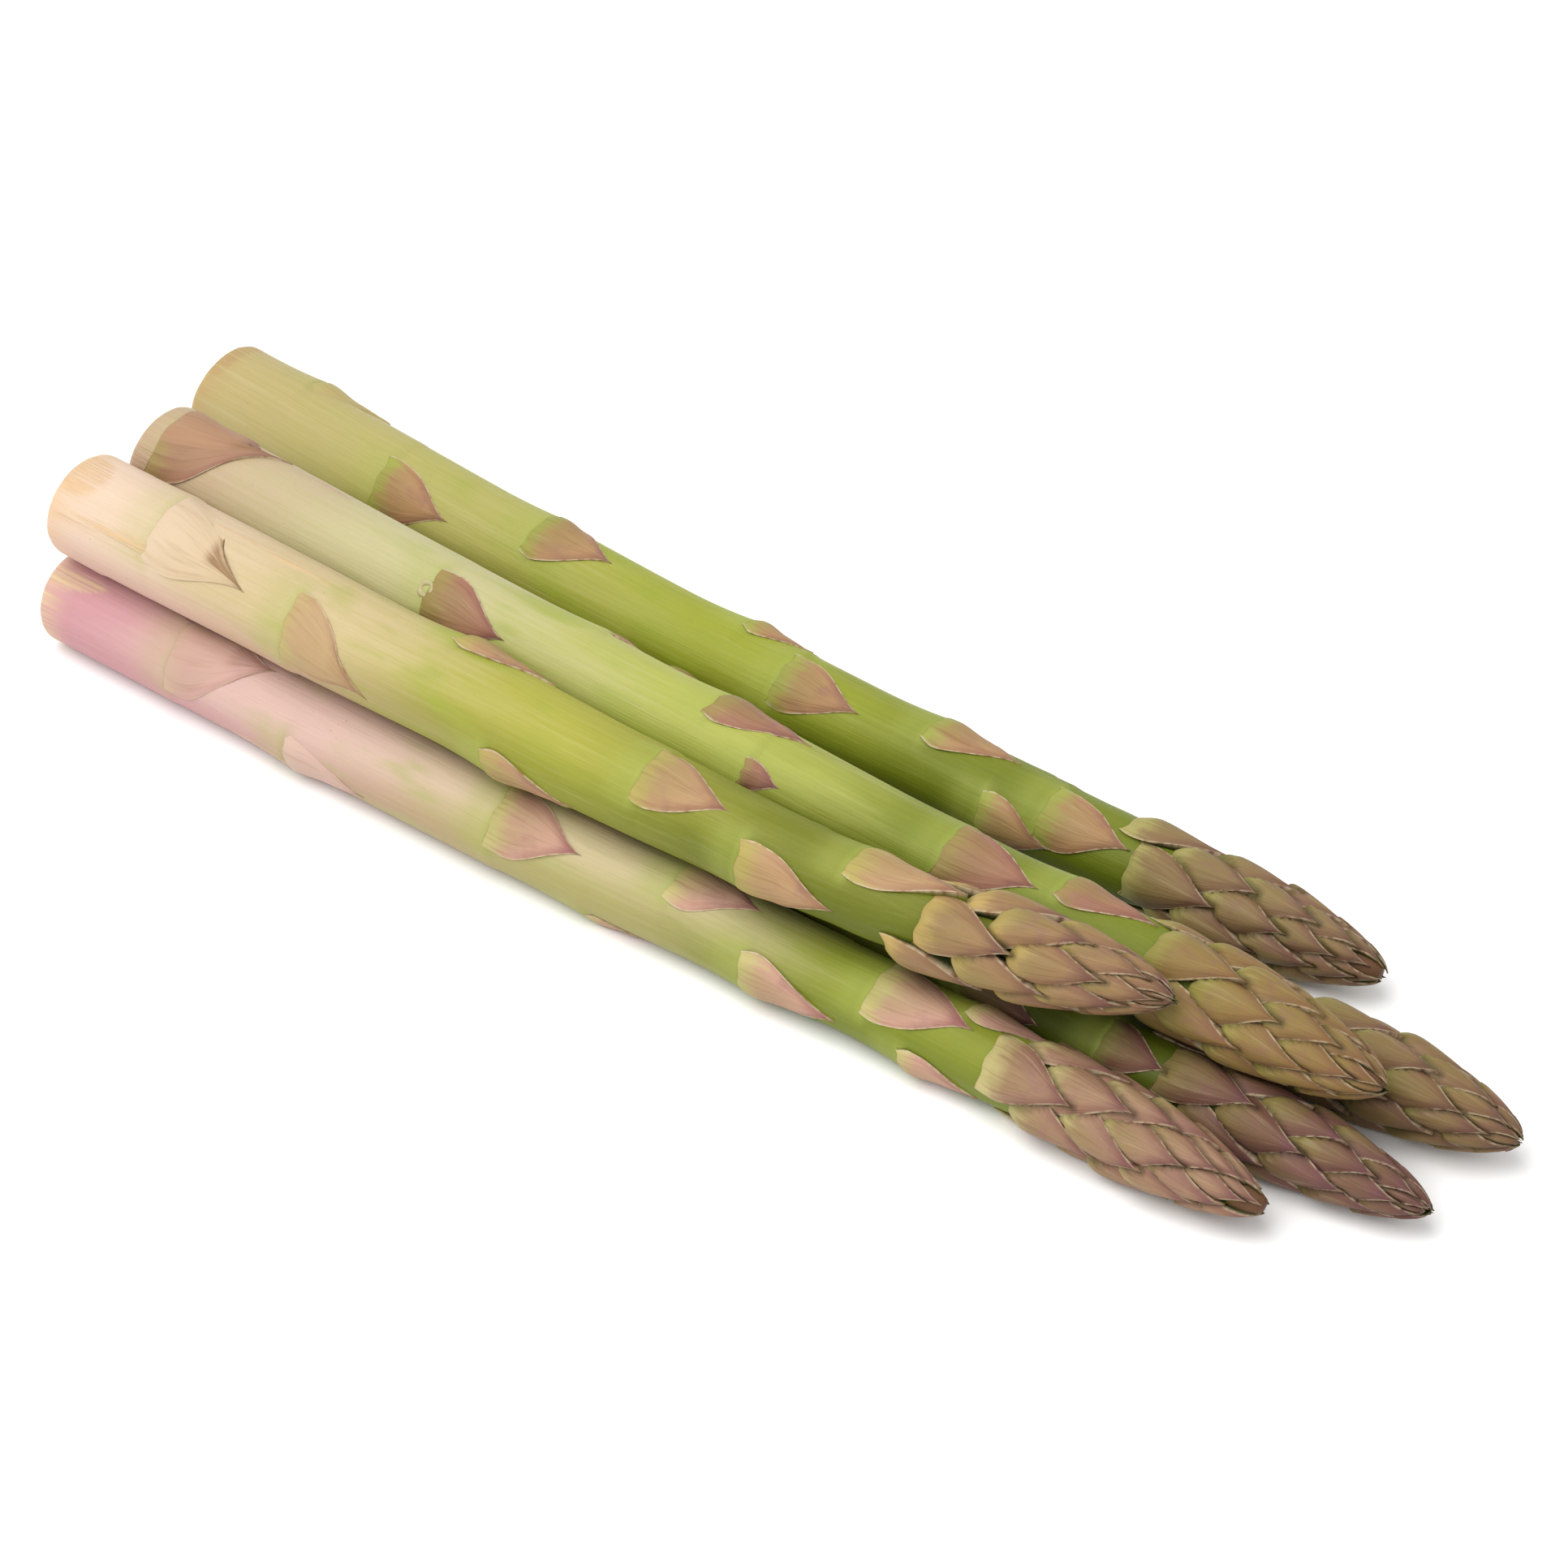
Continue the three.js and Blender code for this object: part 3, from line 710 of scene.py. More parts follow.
def blades(spear, bundle, rows, across, in_head, random):
    """Points and attributes of scale leaves, as whole arrays over all of them.

    A blade is a grid of u across, -1 to 1, and v along, 0 to 1. Its height over the core
    is that of its rim and its middle, plus a ridge to its point, a curl and a wave at its
    sides, and the stem's swelling near its base. It leans round the spear as v^1.5. A torn
    one narrows on one side past its middle, and the lower rim of a faded one sinks into
    the stem. Where others cover it, it stays in the room that they leave. A second grid
    lies inside the core, so that each blade is closed. Each scale draws how far its sides
    lift, how full its middle is, where its waves start, and a chance for its colour.
    """
    sizes = spear.sizes
    count = len(rows)
    place, side, length, width, torn, lean, faded = (rows[:, k, None, None] for k in range(7))
    v = np.linspace(0, 1, BLADE_ROWS) ** 1.25 * SCALE_LAST_ROW
    v = np.append(v, 1)[None, :, None]
    u = np.sin(np.linspace(-np.pi / 2, np.pi / 2, across))[None, None, :]
    rim = np.abs(u)
    lift, keel, ripple = random.uniform(-1, 1, (3, count, 1, 1))
    chance = random.uniform(0, 1, (count, 1, 1))

    near_base = 1 - smooth(v / 0.16)
    scallop = 0.16 * np.cos(2.5 * np.pi * u + 3 * ripple) + 0.45 * rim**7
    unsqueezed = spear.butt + place + v * length - near_base * scallop
    over = np.maximum(unsqueezed - (spear.tip - TIP_SQUEEZE), 0)
    farther = TIP_REACH * (0.8 + 0.2 * lift) * (1 - np.exp(-over / TIP_REACH_FADE))
    x = np.minimum(unsqueezed, spear.tip - TIP_SQUEEZE) + farther
    core = spear.core(spear.tip - x)
    depth = spear.outer(spear.tip - x) - core

    small = np.minimum(width / HEAD_SCALE_WIDTH, 1)
    edge, rise = blade_rise(sizes, u, v, small, depth, in_head, keel, faded)
    ridge = RIDGE * small * np.exp(-((u / 0.2) ** 2)) * smooth((v - 0.35) / 0.5) * (1 - v)
    curl = small * (0.08 + 0.1 * lift + 0.25 * torn) * rim**9 * np.sin(np.pi * v)
    wave = (0.05 + 0.1 * torn) * small * rim**3 * smooth(v / 0.2)
    wave = wave * np.sin(9 * v + 5 * ripple + 2 * np.sign(u))
    height = SCALE_STEP + edge + rise + ridge + curl + wave
    swell = HEAD_SWELL if in_head else sizes.swell
    height = height + swell * (1 - 0.35 * u**2) * (1 - smooth(v / (0.5 - 0.36 * u**4)))
    half = blade_outline(v) * width / 2
    middle = side + lean * v**LEAN_CURVE
    ground = spear.swelling(x, middle + np.degrees(u * half / core))
    height = np.maximum(height, ground + SCALE_STEP + RIM_SHARE * edge)
    lower_rim = np.maximum(rim**6, 1 - smooth(v / 0.1)) * (1 - smooth(4 * v - 2))
    height = height - FADED_DROP * faded * lower_rim
    squeeze = 1 - 0.5 * smooth(over / 3)
    reach = core + height * squeeze

    tear_from = TEAR_FROM + 0.05 * np.sin(11 * u + 5 * ripple)
    tear = 0.85 * torn * (1 - 0.65 * faded) * smooth((v - tear_from) / 0.1) * (u < 0)
    half = half * (1 - tear)
    half = half * (1 + 0.04 * np.sin(7 * v + 9 * ripple + np.sign(u)) * smooth(v / 0.3))
    turned = middle + np.degrees(u * half / np.maximum(reach, 1))
    before = spear.scales if in_head else spear.scales[:0]
    covering = np.concatenate([before, rows])
    room, crevice = covered_by(
        spear, unsqueezed, turned, covering, len(before), depth, ground
    )
    sunk = CREVICE_DEPTH * small * crevice * (height > 0.4)
    lowered = np.minimum(reach - sunk, core + room * squeeze)
    reach = np.maximum(lowered, np.minimum(reach, core + LEAST_HEIGHT))
    outer = spear.place(x, turned, reach, bundle)
    buried = np.minimum(core * BURIED, reach - 0.3)
    narrower = middle + (turned - middle) * INSIDE_WIDTH
    inner = spear.place(x, narrower, buried, bundle)

    def of_points(values, inside=None):
        """Values outside, inside and at the point of each blade, for all points in turn."""
        size = np.shape(values)[3:]
        both = (values, values if inside is None else inside)
        whole = [np.broadcast_to(part, (*x.shape, *size)) for part in both]
        parts = [part[:, :-1].reshape(count, -1, *size) for part in whole]
        parts.append(whole[0][:, -1, across // 2][:, None])
        return np.concatenate(parts, 1).reshape(-1, *size)

    return {
        "points": of_points(outer, inner),
        "leaf": of_points(stacked(u, v, chance)),
        "grown_at": of_points(grown_at(spear, x, turned)),
        "under": of_points(0.0, 1.0),
        "margin": of_points((1 - rim) * half, 0.0),
        "in_head": of_points(float(in_head)),
        "crevice": of_points(crevice),
        "torn": of_points(torn * (u < 0.3)),
        "faded": of_points(faded),
        "share": of_points((x - spear.butt) / spear.length),
        "faces": blade_faces(count, BLADE_ROWS, across),
    }


def bud_rings(spear, bundle):
    """Small closed rings that lie half sunk in the stem, where buds were.

    A ring of radius s is (s + w cos b) round its middle and 0.05 + 0.7 w sin b over the
    stem, where w, the thickness of its wire, is 0.42 s (1 + 0.3 cos 3a).
    """
    rows = np.array(BUDS[spear.name])
    place, side, size = (rows[:, k, None, None] for k in range(3))
    around = (np.arange(RING_SIDES) * 2 * np.pi / RING_SIDES)[None, :, None]
    across = (np.arange(WIRE_SIDES) * 2 * np.pi / WIRE_SIDES)[None, None, :]
    wire = 0.42 * size * (1 + 0.3 * np.cos(3 * around))
    out = size + wire * np.cos(across)
    x = spear.butt + place + out * np.cos(around)
    level = spear.core(spear.tip - x) + spear.swelling(spear.butt + place - 0.2, side)
    angle = side + np.degrees(out * np.sin(around) / level)
    points = spear.place(x, angle, level + 0.05 + 0.7 * wire * np.sin(across), bundle)
    count = points.size // 3
    ring, a, b = np.indices((len(rows), RING_SIDES, WIRE_SIDES))
    next_a, next_b = (a + 1) % RING_SIDES, (b + 1) % WIRE_SIDES
    corners = [(a, b), (a, next_b), (next_a, next_b), (next_a, b)]
    quads = [(ring * RING_SIDES + one) * WIRE_SIDES + two for one, two in corners]
    flat = dict(under=0.0, margin=1.0, in_head=0.0, crevice=0.0, torn=0.0, faded=1.0)
    return {
        "points": points.reshape(-1, 3),
        "leaf": np.tile(BUD_LEAF, (count, 1)),
        "grown_at": grown_at(spear, x, angle).reshape(-1, 3),
        **{title: np.full(count, value) for title, value in flat.items()},
        "share": np.repeat(place[:, 0, 0] / spear.length, RING_SIDES * WIRE_SIDES),
        "faces": ([stacked(*quads).reshape(-1, 4)], []),
    }


def make_scales(spear, bundle):
    """All the scale leaves of a spear in one piece, and the rings of its bud scars."""
    random = seed_of(spear.name + "scales")
    rows = spear.head_scales(spear.sizes.head_scales)
    parts = [
        blades(spear, bundle, spear.scales, STEM_BLADE_POINTS, 0, random),
        blades(spear, bundle, rows, HEAD_BLADE_POINTS, 1, random),
    ]
    if spear.name in BUDS:
        parts.append(bud_rings(spear, bundle))
    faces, walls = [], []
    offset = 0
    for part in parts:
        outside, around = part.pop("faces")
        faces.extend(face + offset for face in outside)
        walls.extend(face + offset for face in around)
        offset += len(part["points"])
    together = {title: np.concatenate([part[title] for part in parts]) for title in parts[0]}
    points = together.pop("points")
    return mesh_object(f"{spear.name}_scales", points, faces, together, walls)


# ---- Materials ----------------------------------------------------------------------


def rgb(text, light=(1, 1, 1)):
    """Scene colour from a hexadecimal one: the sRGB curve undone, over the light on it."""
    parts = np.array([int(text[k : k + 2], 16) / 255 for k in (1, 3, 5)])
    low, high = parts / 12.92, ((parts + 0.055) / 1.055) ** 2.4
    plain = np.where(parts <= 0.04045, low, high) / light
    return tuple(float(value) for value in plain)


def paint(text):
    """Base colour of a surface that is to look like a colour under the stage's light."""
    return rgb(text, STAGE_LIGHT)


# Colours that are mixed into those of every spear.
PALE_STREAKS, PALE_VEINS = paint("#f2eed0"), paint("#d9c79c")
FRESH_GREEN, OLIVE = paint("#94ab34"), paint("#949048")
MAUVE, SIDE_MAUVE = paint("#93606a"), paint("#7b4b55")
SPECKS, TORN_SKIN, DRIED_POINT = paint("#a98458"), paint("#cda07c"), paint("#6f4c33")
CUT_FLESH, CUT_FIBRES = paint("#e9e2b8"), paint("#c2b47a")
# Painted shade: the inside of the head's scales and the inner part of their rim walls are
# painted this dark olive.
HEAD_INSIDE_SHADE = paint("#39401a")

# What red, green and blue are multiplied by, where a colour gets deeper.
# The first is painted shade: how much deeper the green skin is painted on its lower side.
GREEN_SIDE_SHADE = (0.60, 0.66, 0.30)
DEEP_STREAKS = (0.80, 0.84, 0.60)
DEEP_VEINS = (0.72, 0.60, 0.58)
# Painted shade: how dark a head's scale is painted beside the edge of a covering scale.
CREVICE_PAINTED_SHADE = (0.26, 0.26, 0.20)

# Places of a ramp's colours: along a spear, and along a scale of its stem and its head.
SKIN_PLACES = (0.02, 0.22, 0.47, 0.69)
STEM_SCALE_PLACES = (0.02, 0.28, 0.62, 0.95)
HEAD_SCALE_PLACES = (0.05, 0.32, 0.62, 0.98)

SKIN_RELIEF, LEAF_RELIEF = 0.00011, 0.00016  # height of the finest relief, in metres
SKIN_FLESH, LEAF_FLESH = 0.18, 0.05  # share of the light that passes under the surface
FLESH_DEPTH = 0.0012  # how far it goes there, in metres
FLESH_RADIUS = (1.0, 0.9, 0.35)  # and the share of that for red, green and blue
SKIN_GLOSS, LEAF_GLOSS = 0.22, 0.24


class Socket:
    """A node's output. Python's operators on it add Math nodes."""

    def __init__(self, nodes, socket):
        self.nodes = nodes
        self.socket = socket

    def math(self, operation, value):
        """A Math node on this value and another."""
        return self.nodes.add("ShaderNodeMath", {"operation": operation}, {0: self, 1: value})

    def __add__(self, other):
        return self.math("ADD", other)

    def __sub__(self, other):
        return self.math("SUBTRACT", other)

    def __rsub__(self, other):
        return self.math("MULTIPLY", -1).math("ADD", other)

    def __mul__(self, other):
        return self.math("MULTIPLY", other)

    __radd__ = __add__
    __rmul__ = __mul__

    def output(self, number):
        """Another output of the same node."""
        return Socket(self.nodes, self.socket.node.outputs[number])

    def ramp(self, low, high):
        """0 below low, 1 above high and smooth between."""
        settings = {"interpolation_type": "SMOOTHSTEP"}
        inputs = {"Value": self, "From Min": low, "From Max": high}
        return self.nodes.add("ShaderNodeMapRange", settings, inputs)


class Nodes:
    """The node tree of one material, with a Principled shader as its end."""

    def __init__(self, name):
        self.material = bpy.data.materials.new(name)
        self.material.use_nodes = True
        self.tree = self.material.node_tree
        self.tree.nodes.clear()
        self.shader = self.tree.nodes.new("ShaderNodeBsdfPrincipled")
        output = self.tree.nodes.new("ShaderNodeOutputMaterial")
        self.tree.links.new(self.shader.outputs[0], output.inputs[0])

    def feed(self, socket, value):
        """Links or sets one input."""
        if isinstance(value, Socket):
            self.tree.links.new(value.socket, socket)
        else:
            socket.default_value = value

    def add(self, kind, settings=None, inputs=None, output=0):
        """A node of a kind, with its settings set first and then its inputs."""
        node = self.tree.nodes.new(kind)
        for key, value in (settings or {}).items():
            if key == "stops":
                self.set_stops(node.color_ramp, value)
            else:
                setattr(node, key, value)
        for key, value in (inputs or {}).items():
            self.feed(node.inputs[key], value)
        return Socket(self, node.outputs[output])

    def set_stops(self, ramp, stops):
        """Places and colours of a colour ramp."""
        ramp.interpolation = "EASE"
        while len(ramp.elements) < len(stops):
            ramp.elements.new(0.5)
        for element, (place, color) in zip(ramp.elements, stops):
            element.position = place
            element.color = (*color, 1)

    def attribute(self, title, output="Fac"):
        """A value of the piece, by its title."""
        return self.add("ShaderNodeAttribute", {"attribute_name": title}, output=output)

    def noise(self, vector, factors, detail=2.0, rough=0.5):
        """Noise from 0 to 1 at a vector, each of whose parts is first multiplied."""
        settings = {"operation": "MULTIPLY"}
        stretched = self.add("ShaderNodeVectorMath", settings, {0: vector, 1: factors})
        inputs = {"Vector": stretched, "Scale": 1.0, "Detail": detail, "Roughness": rough}
        return self.add("ShaderNodeTexNoise", {}, inputs)

    def mix(self, factor, first, second, blend="MIX"):
        """Two colours mixed."""
        settings = {"data_type": "RGBA", "blend_type": blend, "clamp_factor": True}
        first, second = (
            color if isinstance(color, Socket) else (*color, 1) for color in (first, second)
        )
        return self.add("ShaderNodeMix", settings, {0: factor, 6: first, 7: second}, 2)

    def deeper(self, color, factors):
        """A colour with its red, green and blue multiplied."""
        return self.mix(1.0, color, factors, "MULTIPLY")

    def layered(self, color, *layers):
        """A colour with others over it in turn, each by its own factor."""
        for factor, over in layers:
            color = self.mix(factor, color, over)
        return color

    def colors(self, value, places, colors):
        """A colour ramp, from the places of its colours and the colours."""
        stops = tuple(zip(places, colors))
        return self.add("ShaderNodeValToRGB", {"stops": stops}, {0: value})

    def finish(self, color, roughness, relief, distance, flesh, gloss):
        """Feeds the shader.

        A bump of relief over a distance bends its normal, flesh is the share of the light
        that passes under the surface, and gloss is its specular level.
        """
        inputs = self.shader.inputs
        self.feed(inputs["Base Color"], color)
        self.feed(inputs["Roughness"], roughness)
        bump = self.add("ShaderNodeBump", {}, {"Height": relief, "Distance": distance})
        self.feed(inputs["Normal"], bump)
        self.feed(inputs["Subsurface Weight"], flesh)
        self.feed(inputs["Subsurface Radius"], FLESH_RADIUS)
        self.feed(inputs["Subsurface Scale"], FLESH_DEPTH)
        self.feed(inputs["Specular IOR Level"], gloss)
        return self.material


def skin_colors(nodes, colors, share):
    """The stem's colour at a share of its length from the butt."""
    stops = (colors.butt, colors.low, colors.middle, colors.neck)
    return nodes.colors(share, SKIN_PLACES, stops)


def skin_material(spear, colors, finish):
    """Skin of a stem: its colour runs from butt to neck, in fine lengthwise streaks."""
    nodes = Nodes(f"{spear.name}_skin")
    titles = ("share", "collar", "cut", "rim", "dry")
    share, collar, cut, rim, dry = (nodes.attribute(title) for title in titles)
    at = nodes.attribute("grown_at", "Vector")
    patches = nodes.noise(at, (0.045, 0.16, 0.16), 3.0, 0.55)
    streaks = nodes.noise(at, (0.05, 2.3, 2.3), 4.0, 0.6)
    threads = nodes.noise(at, (0.14, 7.0, 7.0))
    fibres = nodes.noise(at, (0.0, 1.6, 1.6), 3.0, 0.6)
    ragged = streaks.ramp(0.38, 0.62)

    # The skin from butt to neck, with its lower side in the colour for that, then greener.
    shifted = share + (patches - 0.5) * 0.16 + (streaks - 0.5) * 0.04
    color = skin_colors(nodes, colors, shifted)
    parts = nodes.add("ShaderNodeSeparateXYZ", {}, {0: at})
    below = (parts.output(1) + parts.output(2)) * -1
    # The skin from butt to neck, with its lower front side painted in the side colour near the
    # butt and a deeper green higher up: partly the skin's own blush, partly painted shade.
    higher_up = share.ramp(0.12, 0.42)
    lower = nodes.mix(higher_up, colors.side, nodes.deeper(color, GREEN_SIDE_SHADE))
    lower_side = (below + (higher_up * 6 - 4)).ramp(0.0, 8.0) * 0.75
    color = nodes.mix(lower_side, color, lower)

    # Streaks, fresh green patches, collars, specks and dried places, one over another.
    deep = nodes.deeper(color, DEEP_STREAKS)
    pale = nodes.mix(0.22, color, PALE_STREAKS)
    green = nodes.noise(at, (0.07, 0.24, 0.24)).ramp(0.50, 0.72)
    green = green * share.ramp(0.10, 0.40) * (1 - share.ramp(0.4, 0.65))
    fresh = nodes.mix(0.5, colors.middle, FRESH_GREEN)
    specks = nodes.noise(at, (1.4, 2.2, 2.2), 2.0, 0.6).ramp(0.69, 0.76)
    specks = specks * (1 - share) * 0.4
    color = nodes.layered(
        color,
        (streaks.ramp(0.50, 0.74) * 0.3, deep),
        (streaks.ramp(0.47, 0.30) * (0.4 - 0.35 * share), pale),
        (threads.ramp(0.56, 0.76) * 0.2, deep),
        (green * 0.75, fresh),
        (collar * (0.3 + 0.45 * share.ramp(0.0, 0.4)), finish.collar),
        (specks, SPECKS),
        (rim * (0.25 + 0.6 * ragged), colors.rim),
        (dry * (0.2 + 0.6 * ragged), colors.rim),
        (share.ramp(0.955, 0.985), DRIED_POINT),
        (cut, nodes.mix(fibres.ramp(0.45, 0.7), CUT_FLESH, CUT_FIBRES)),
    )
    roughness = 0.40 + 0.14 * streaks + 0.1 * patches + cut * 0.2
    relief = streaks * 0.6 + threads * 0.4 + specks * 0.5 + dry * ragged * 0.6
    return nodes.finish(color, roughness, relief, SKIN_RELIEF, SKIN_FLESH, SKIN_GLOSS)


def scale_material(spear, colors, finish):
    """Scale leaves: green at the base, tan to purple on the face, with a pale margin."""
    nodes = Nodes(f"{spear.name}_leaf")
    leaf = nodes.attribute("leaf", "Vector")
    parts = nodes.add("ShaderNodeSeparateXYZ", {}, {0: leaf})
    v, chance = parts.output(1), parts.output(2)
    titles = ("margin", "under", "in_head", "crevice", "torn", "faded")
    values = (nodes.attribute(title) for title in titles)
    margin, under, in_head, crevice, torn, faded = values
    at = nodes.attribute("grown_at", "Vector")
    fan = nodes.noise(leaf, (5.5, 1.1, 61.0), 4.0, 0.62)
    veins = nodes.noise(leaf, (15.0, 1.6, 47.0))
    ragged = nodes.noise(leaf, (3.0, 14.0, 31.0))
    patches = nodes.noise(at, (0.25, 0.3, 0.3), 3.0, 0.55)
    skin = skin_colors(nodes, colors, nodes.attribute("share"))

    # The colour from base to point, then olive in the middle and mauve in patches.
    shifted = v + (fan - 0.5) * 0.3 + (patches - 0.5) * 0.3 + torn * 0.25
    stem_stops = (colors.scale_base, colors.scale_face, colors.scale_face, colors.scale_point)
    head_stops = (colors.head_base, colors.head_face, colors.head_face, colors.head_point)
    stem_color = nodes.colors(shifted, STEM_SCALE_PLACES, stem_stops)
    head_color = nodes.colors(shifted, HEAD_SCALE_PLACES, head_stops)
    color = nodes.mix(in_head, stem_color, head_color)
    middle = (1 - v.ramp(0.2, 0.8)) * margin.ramp(0.8, 2.6)
    color = nodes.layered(
        color,
        (middle * (0.25 + 0.6 * chance), nodes.mix(0.55, color, OLIVE)),
        (patches.ramp(0.50, 0.68) * v.ramp(0.1, 0.5) * 0.6, nodes.mix(0.45, color, MAUVE)),
    )

    # Deep veins, then pale ones that cross them.
    deep = nodes.deeper(color, DEEP_VEINS)
    veined = ((veins.ramp(0.50, 0.72) * 0.5, deep), (fan.ramp(0.56, 0.74) * 0.5, deep))
    color = nodes.layered(color, *veined)
    pale = nodes.mix(0.4, color, PALE_VEINS)
    color = nodes.mix(fan.ramp(0.46, 0.30) * 0.4, color, pale)

    # Faded and torn scales, purple sides, the thin margin and the dried point.
    dried = torn * (0.35 + 0.5 * fan.ramp(0.35, 0.60)) * v.ramp(0.50, 0.62)
    side = margin.ramp(1.6, 0.2) * v.ramp(0.2, 0.6) * (0.55 - 0.5 * faded)
    thin = (1 - margin.ramp(0.04, finish.margin)) * ragged.ramp(0.30, 0.62)
    thin = thin * (0.9 - 0.7 * faded - 0.25 * in_head)
    color = nodes.layered(
        color,
        (faded * (1 - 0.4 * fan.ramp(0.5, 0.75)), skin),
        (torn * (1 - faded) * 0.5, TORN_SKIN),
        (dried, finish.dry),
        (side, nodes.mix(0.35, deep, SIDE_MAUVE)),
        (thin, finish.edge),
        (v.ramp(0.86, 1.0) * 0.6, finish.dry),
    )

    # Painted shade beside the edge of a covering scale, in the head only; and the inside,
    # which on the stem takes the skin's colour and in the head is painted dark as shade.
    dark = nodes.deeper(color, CREVICE_PAINTED_SHADE)
    inside_or_shade = nodes.mix(in_head, skin, HEAD_INSIDE_SHADE)
    shaded = ((crevice * in_head * 0.9, dark), (under.ramp(0.0, 0.5), inside_or_shade))
    color = nodes.layered(color, *shaded)
    roughness = 0.46 + 0.16 * fan + 0.1 * patches
    relief = fan * 0.5 + veins * 0.5
    return nodes.finish(color, roughness, relief, LEAF_RELIEF, LEAF_FLESH, LEAF_GLOSS)


# ---- Properties ---------------------------------------------------------------------


def number(name, description, default, **more):
    """A property that holds a number."""
    return bpy.props.FloatProperty(
        name=name, description=description, default=default, **more
    )


def size_property(name, description, default):
    """A property that holds a length in millimetres."""
    return number(name, description, default, min=0, precision=2)


def color_property(name, description, default):
    """A property that holds a colour."""
    return bpy.props.FloatVectorProperty(
        name=name, description=description, default=default, size=3, min=0, max=1,
        subtype="COLOR",
    )


class AsparagusSizes(bpy.types.PropertyGroup):
    """Sizes of the stems and their scale leaves."""

    sides: bpy.props.IntProperty(
        name="Sides", description="Points round a stem", default=96, min=24
    )
    ring_step: size_property("Ring step", "Distance between two rings of a stem, mm", 0.75)
    rim: size_property("Rim", "Rounding of the cut butt's rim, mm", 1.2)
    rib: size_property("Ribs", "Height of the faint ribs along a stem, mm", 0.05)
    uneven: size_property("Unevenness", "Slow bumps and hollows of a stem, mm", 0.07)
    swell: size_property("Swelling", "How far a stem swells before a scale, mm", 0.75)
    bulge: size_property("Bulge", "Height of a scale's middle over its rim, mm", 0.55)
    edge: size_property("Edge", "Height of a scale's rim over the stem, mm", 0.15)
    head_scales: bpy.props.IntProperty(
        name="Head scales", description="Scale leaves in a head", default=34, min=8
    )


class AsparagusFinish(bpy.types.PropertyGroup):
    """Colours and widths that all six spears share."""

    margin: size_property("Margin", "Width of the pale margin of a scale, mm", 0.28)
    edge: color_property("Margin colour", "Thin dry margin of a scale", paint("#d8c8a6"))
    collar: color_property("Collar colour", "Stem just below a scale's base", paint("#adb856"))
    dry: color_property("Dry colour", "Dried points and cut edges", paint("#96704a"))


class AsparagusColors(bpy.types.PropertyGroup):
    """Colours of one spear."""

    rim: color_property("Rim", "Dried skin at the cut and in streaks", paint("#c9a877"))
    butt: color_property("Butt", "Skin at the cut butt", paint("#d3bf92"))
    # Partly the skin's own blush and partly painted shade on the lower side.
    side: color_property("Side", "Lower side near the butt", paint("#b9a070"))
    low: color_property("Low", "Skin of the lower stem", paint("#cfc77f"))
    middle: color_property("Middle", "Skin half way up", paint("#b4b852"))
    neck: color_property("Neck", "Skin below the head", paint("#8b9a34"))
    scale_base: color_property("Scale base", "Stem scales at the base", paint("#c3c85f"))
    scale_face: color_property("Scale face", "Stem scales in the middle", paint("#c79b72"))
    scale_point: color_property("Scale point", "Stem scales at the point", paint("#a87f5e"))
    head_base: color_property("Head base", "Head scales at the base", paint("#b3b65a"))
    head_face: color_property("Head face", "Head scales in the middle", paint("#a3885d"))
    head_point: color_property("Head point", "Head scales at the point", paint("#7d5a4a"))


class AsparagusStage(bpy.types.PropertyGroup):
    """Camera, floor and light."""

    azimuth: number(
        "Azimuth", "Camera's turn round the bundle from its front",
        float(np.radians(37.28)), subtype="ANGLE",
    )
    elevation: number(
        "Elevation", "Camera's height over the table", float(np.radians(42)), subtype="ANGLE"
    )
    distance: number("Distance", "From camera to bundle", 1.0, unit="LENGTH")
    target: bpy.props.FloatVectorProperty(
        name="Target", description="Point that the camera looks at",
        default=(-0.004, 0.011, 0.0), subtype="TRANSLATION",
    )
    lens: number("Lens", "Focal length on a 36 mm sensor", 163.45)
    floor: color_property("Floor", "Colour of the floor", rgb("#f8f8f7"))
    sky: number("Surround", "Strength of the light from all round", 0.88)
    key: number("Key light", "Power of the large light above", 7.8)


# ---- Operators ----------------------------------------------------------------------


def dress_bundle(scene, make_piece, make_material):
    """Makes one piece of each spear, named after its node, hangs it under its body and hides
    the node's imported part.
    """
    bundle = the_bundle(scene.asparagus_sizes)
    for spear in bundle:
        colors = scene.asparagus_colors[spear.name]
        thing = make_piece(spear, bundle)
        thing.data.materials.append(make_material(spear, colors, scene.asparagus_finish))
        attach(thing, "root")
        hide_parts(spear.name)


class ASPARAGUS_OT_stems(bpy.types.Operator):
    """Makes the six stems with their cut butts"""

    bl_idname = "asparagus.stems"
    bl_label = "Stems"

    def execute(self, context):
        dress_bundle(context.scene, make_stem, skin_material)
        return {"FINISHED"}


class ASPARAGUS_OT_scales(bpy.types.Operator):
    """Makes the scale leaves of the six stems and heads"""

    bl_idname = "asparagus.scales"
    bl_label = "Scale leaves"

    def execute(self, context):
        dress_bundle(context.scene, make_scales, scale_material)
        return {"FINISHED"}


KEY_PLACE, KEY_SIZE = (-0.1, -0.35, 0.85), 0.8  # of the large light, in metres
SENSOR = 36  # width of the camera's sensor, in millimetres
CLIP_START = 0.05  # nearest distance that the camera sees, in metres
FLOOR = 3.0  # half the floor's side, in metres
FLOOR_ROUGHNESS, FLOOR_GLOSS = 0.9, 0.1


def area_light(name, place, size, power):
    """A square area light that faces the origin."""
    light = bpy.data.lights.new(name, "AREA")
    light.shape = "SQUARE"
    light.size = size
    light.energy = power
    put(name, light, place, Vector(place))


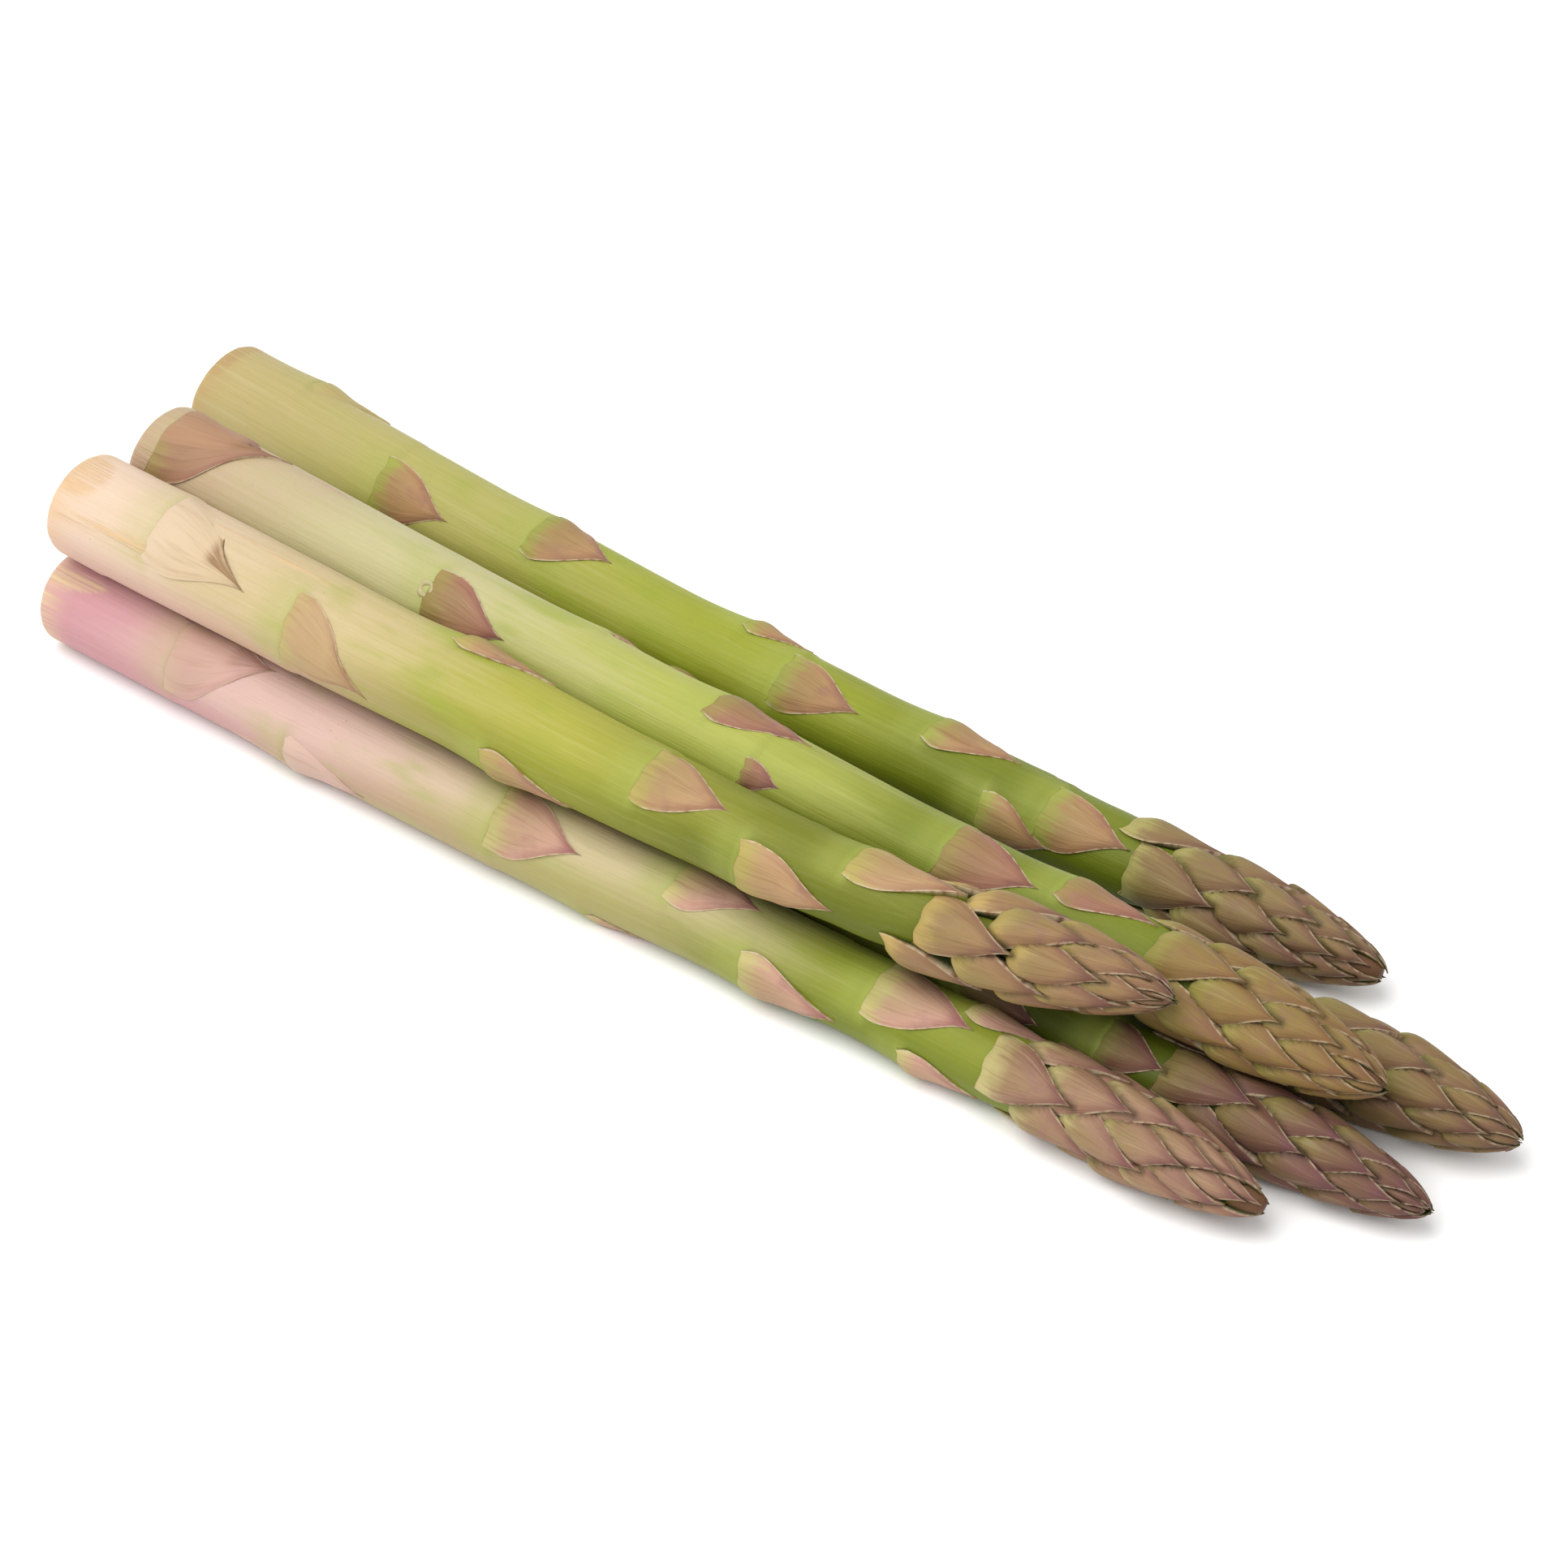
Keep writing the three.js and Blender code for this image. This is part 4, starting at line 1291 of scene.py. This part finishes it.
def floor_object(color):
    """A wide flat floor just under the bundle."""
    mesh = bpy.data.meshes.new("floor")
    corners = [(-FLOOR, -FLOOR, 0), (FLOOR, -FLOOR, 0), (FLOOR, FLOOR, 0), (-FLOOR, FLOOR, 0)]
    mesh.from_pydata(corners, [], [(0, 1, 2, 3)])
    nodes = Nodes("floor_paint")
    nodes.feed(nodes.shader.inputs["Base Color"], (*color, 1))
    nodes.feed(nodes.shader.inputs["Roughness"], FLOOR_ROUGHNESS)
    nodes.feed(nodes.shader.inputs["Specular IOR Level"], FLOOR_GLOSS)
    mesh.materials.append(nodes.material)
    return put("floor", mesh)


class ASPARAGUS_OT_stage(bpy.types.Operator):
    """Makes the camera, the floor and the lights"""

    bl_idname = "asparagus.stage"
    bl_label = "Stage"

    def execute(self, context):
        scene = context.scene
        stage = scene.asparagus_stage
        a, e = stage.azimuth, stage.elevation
        flat = np.cos(e)
        # From the bundle to the camera.
        back = Vector((np.sin(a) * flat, -np.cos(a) * flat, np.sin(e)))
        camera = bpy.data.cameras.new("camera")
        camera.sensor_width = SENSOR
        camera.lens = stage.lens
        camera.clip_start = CLIP_START
        place = Vector(stage.target) + back * stage.distance
        scene.camera = put("camera", camera, place, back)
        floor_object(stage.floor)
        area_light("key", KEY_PLACE, KEY_SIZE, stage.key)
        world = bpy.data.worlds.new("surround")
        world.use_nodes = True
        background = world.node_tree.nodes["Background"]
        background.inputs["Color"].default_value = (1, 1, 1, 1)
        background.inputs["Strength"].default_value = stage.sky
        scene.world = world
        scene.view_settings.view_transform = "Standard"
        return {"FINISHED"}


class ASPARAGUS_PT_panel(bpy.types.Panel):
    """Sidebar panel with the sizes, the colours and the steps"""

    bl_idname = "ASPARAGUS_PT_panel"
    bl_label = "Asparagus bundle"
    bl_space_type = "VIEW_3D"
    bl_region_type = "UI"
    bl_category = "Asparagus"

    def draw(self, context):
        layout = self.layout
        scene = context.scene
        groups = [scene.asparagus_sizes, scene.asparagus_finish, scene.asparagus_stage]
        groups.extend(scene.asparagus_colors)
        for group in groups:
            box = layout.box()
            for title in group.__annotations__:
                box.prop(group, title)
        for operator in (ASPARAGUS_OT_stems, ASPARAGUS_OT_scales, ASPARAGUS_OT_stage):
            layout.operator(operator.bl_idname)


CLASSES = (
    AsparagusSizes,
    AsparagusFinish,
    AsparagusColors,
    AsparagusStage,
    ASPARAGUS_OT_stems,
    ASPARAGUS_OT_scales,
    ASPARAGUS_OT_stage,
    ASPARAGUS_PT_panel,
)


def register():
    """Registers the classes and hangs the settings on the scene."""
    for kind in CLASSES:
        bpy.utils.register_class(kind)
    scene = bpy.types.Scene
    scene.asparagus_sizes = bpy.props.PointerProperty(type=AsparagusSizes)
    scene.asparagus_finish = bpy.props.PointerProperty(type=AsparagusFinish)
    scene.asparagus_stage = bpy.props.PointerProperty(type=AsparagusStage)
    scene.asparagus_colors = bpy.props.CollectionProperty(type=AsparagusColors)


def unregister():
    """Takes the settings and the classes away again."""
    for title in ("sizes", "finish", "stage", "colors"):
        delattr(bpy.types.Scene, f"asparagus_{title}")
    for kind in reversed(CLASSES):
        bpy.utils.unregister_class(kind)


def main():
    """Runs every step in order."""
    register()
    for name, row in COLORS.items():
        item = bpy.context.scene.asparagus_colors.add()
        item.name = name
        for title, color in row.items():
            setattr(item, title, paint(color))
    bpy.ops.asparagus.stems()
    bpy.ops.asparagus.scales()
    bpy.ops.asparagus.stage()


if __name__ == "__main__":
    main()
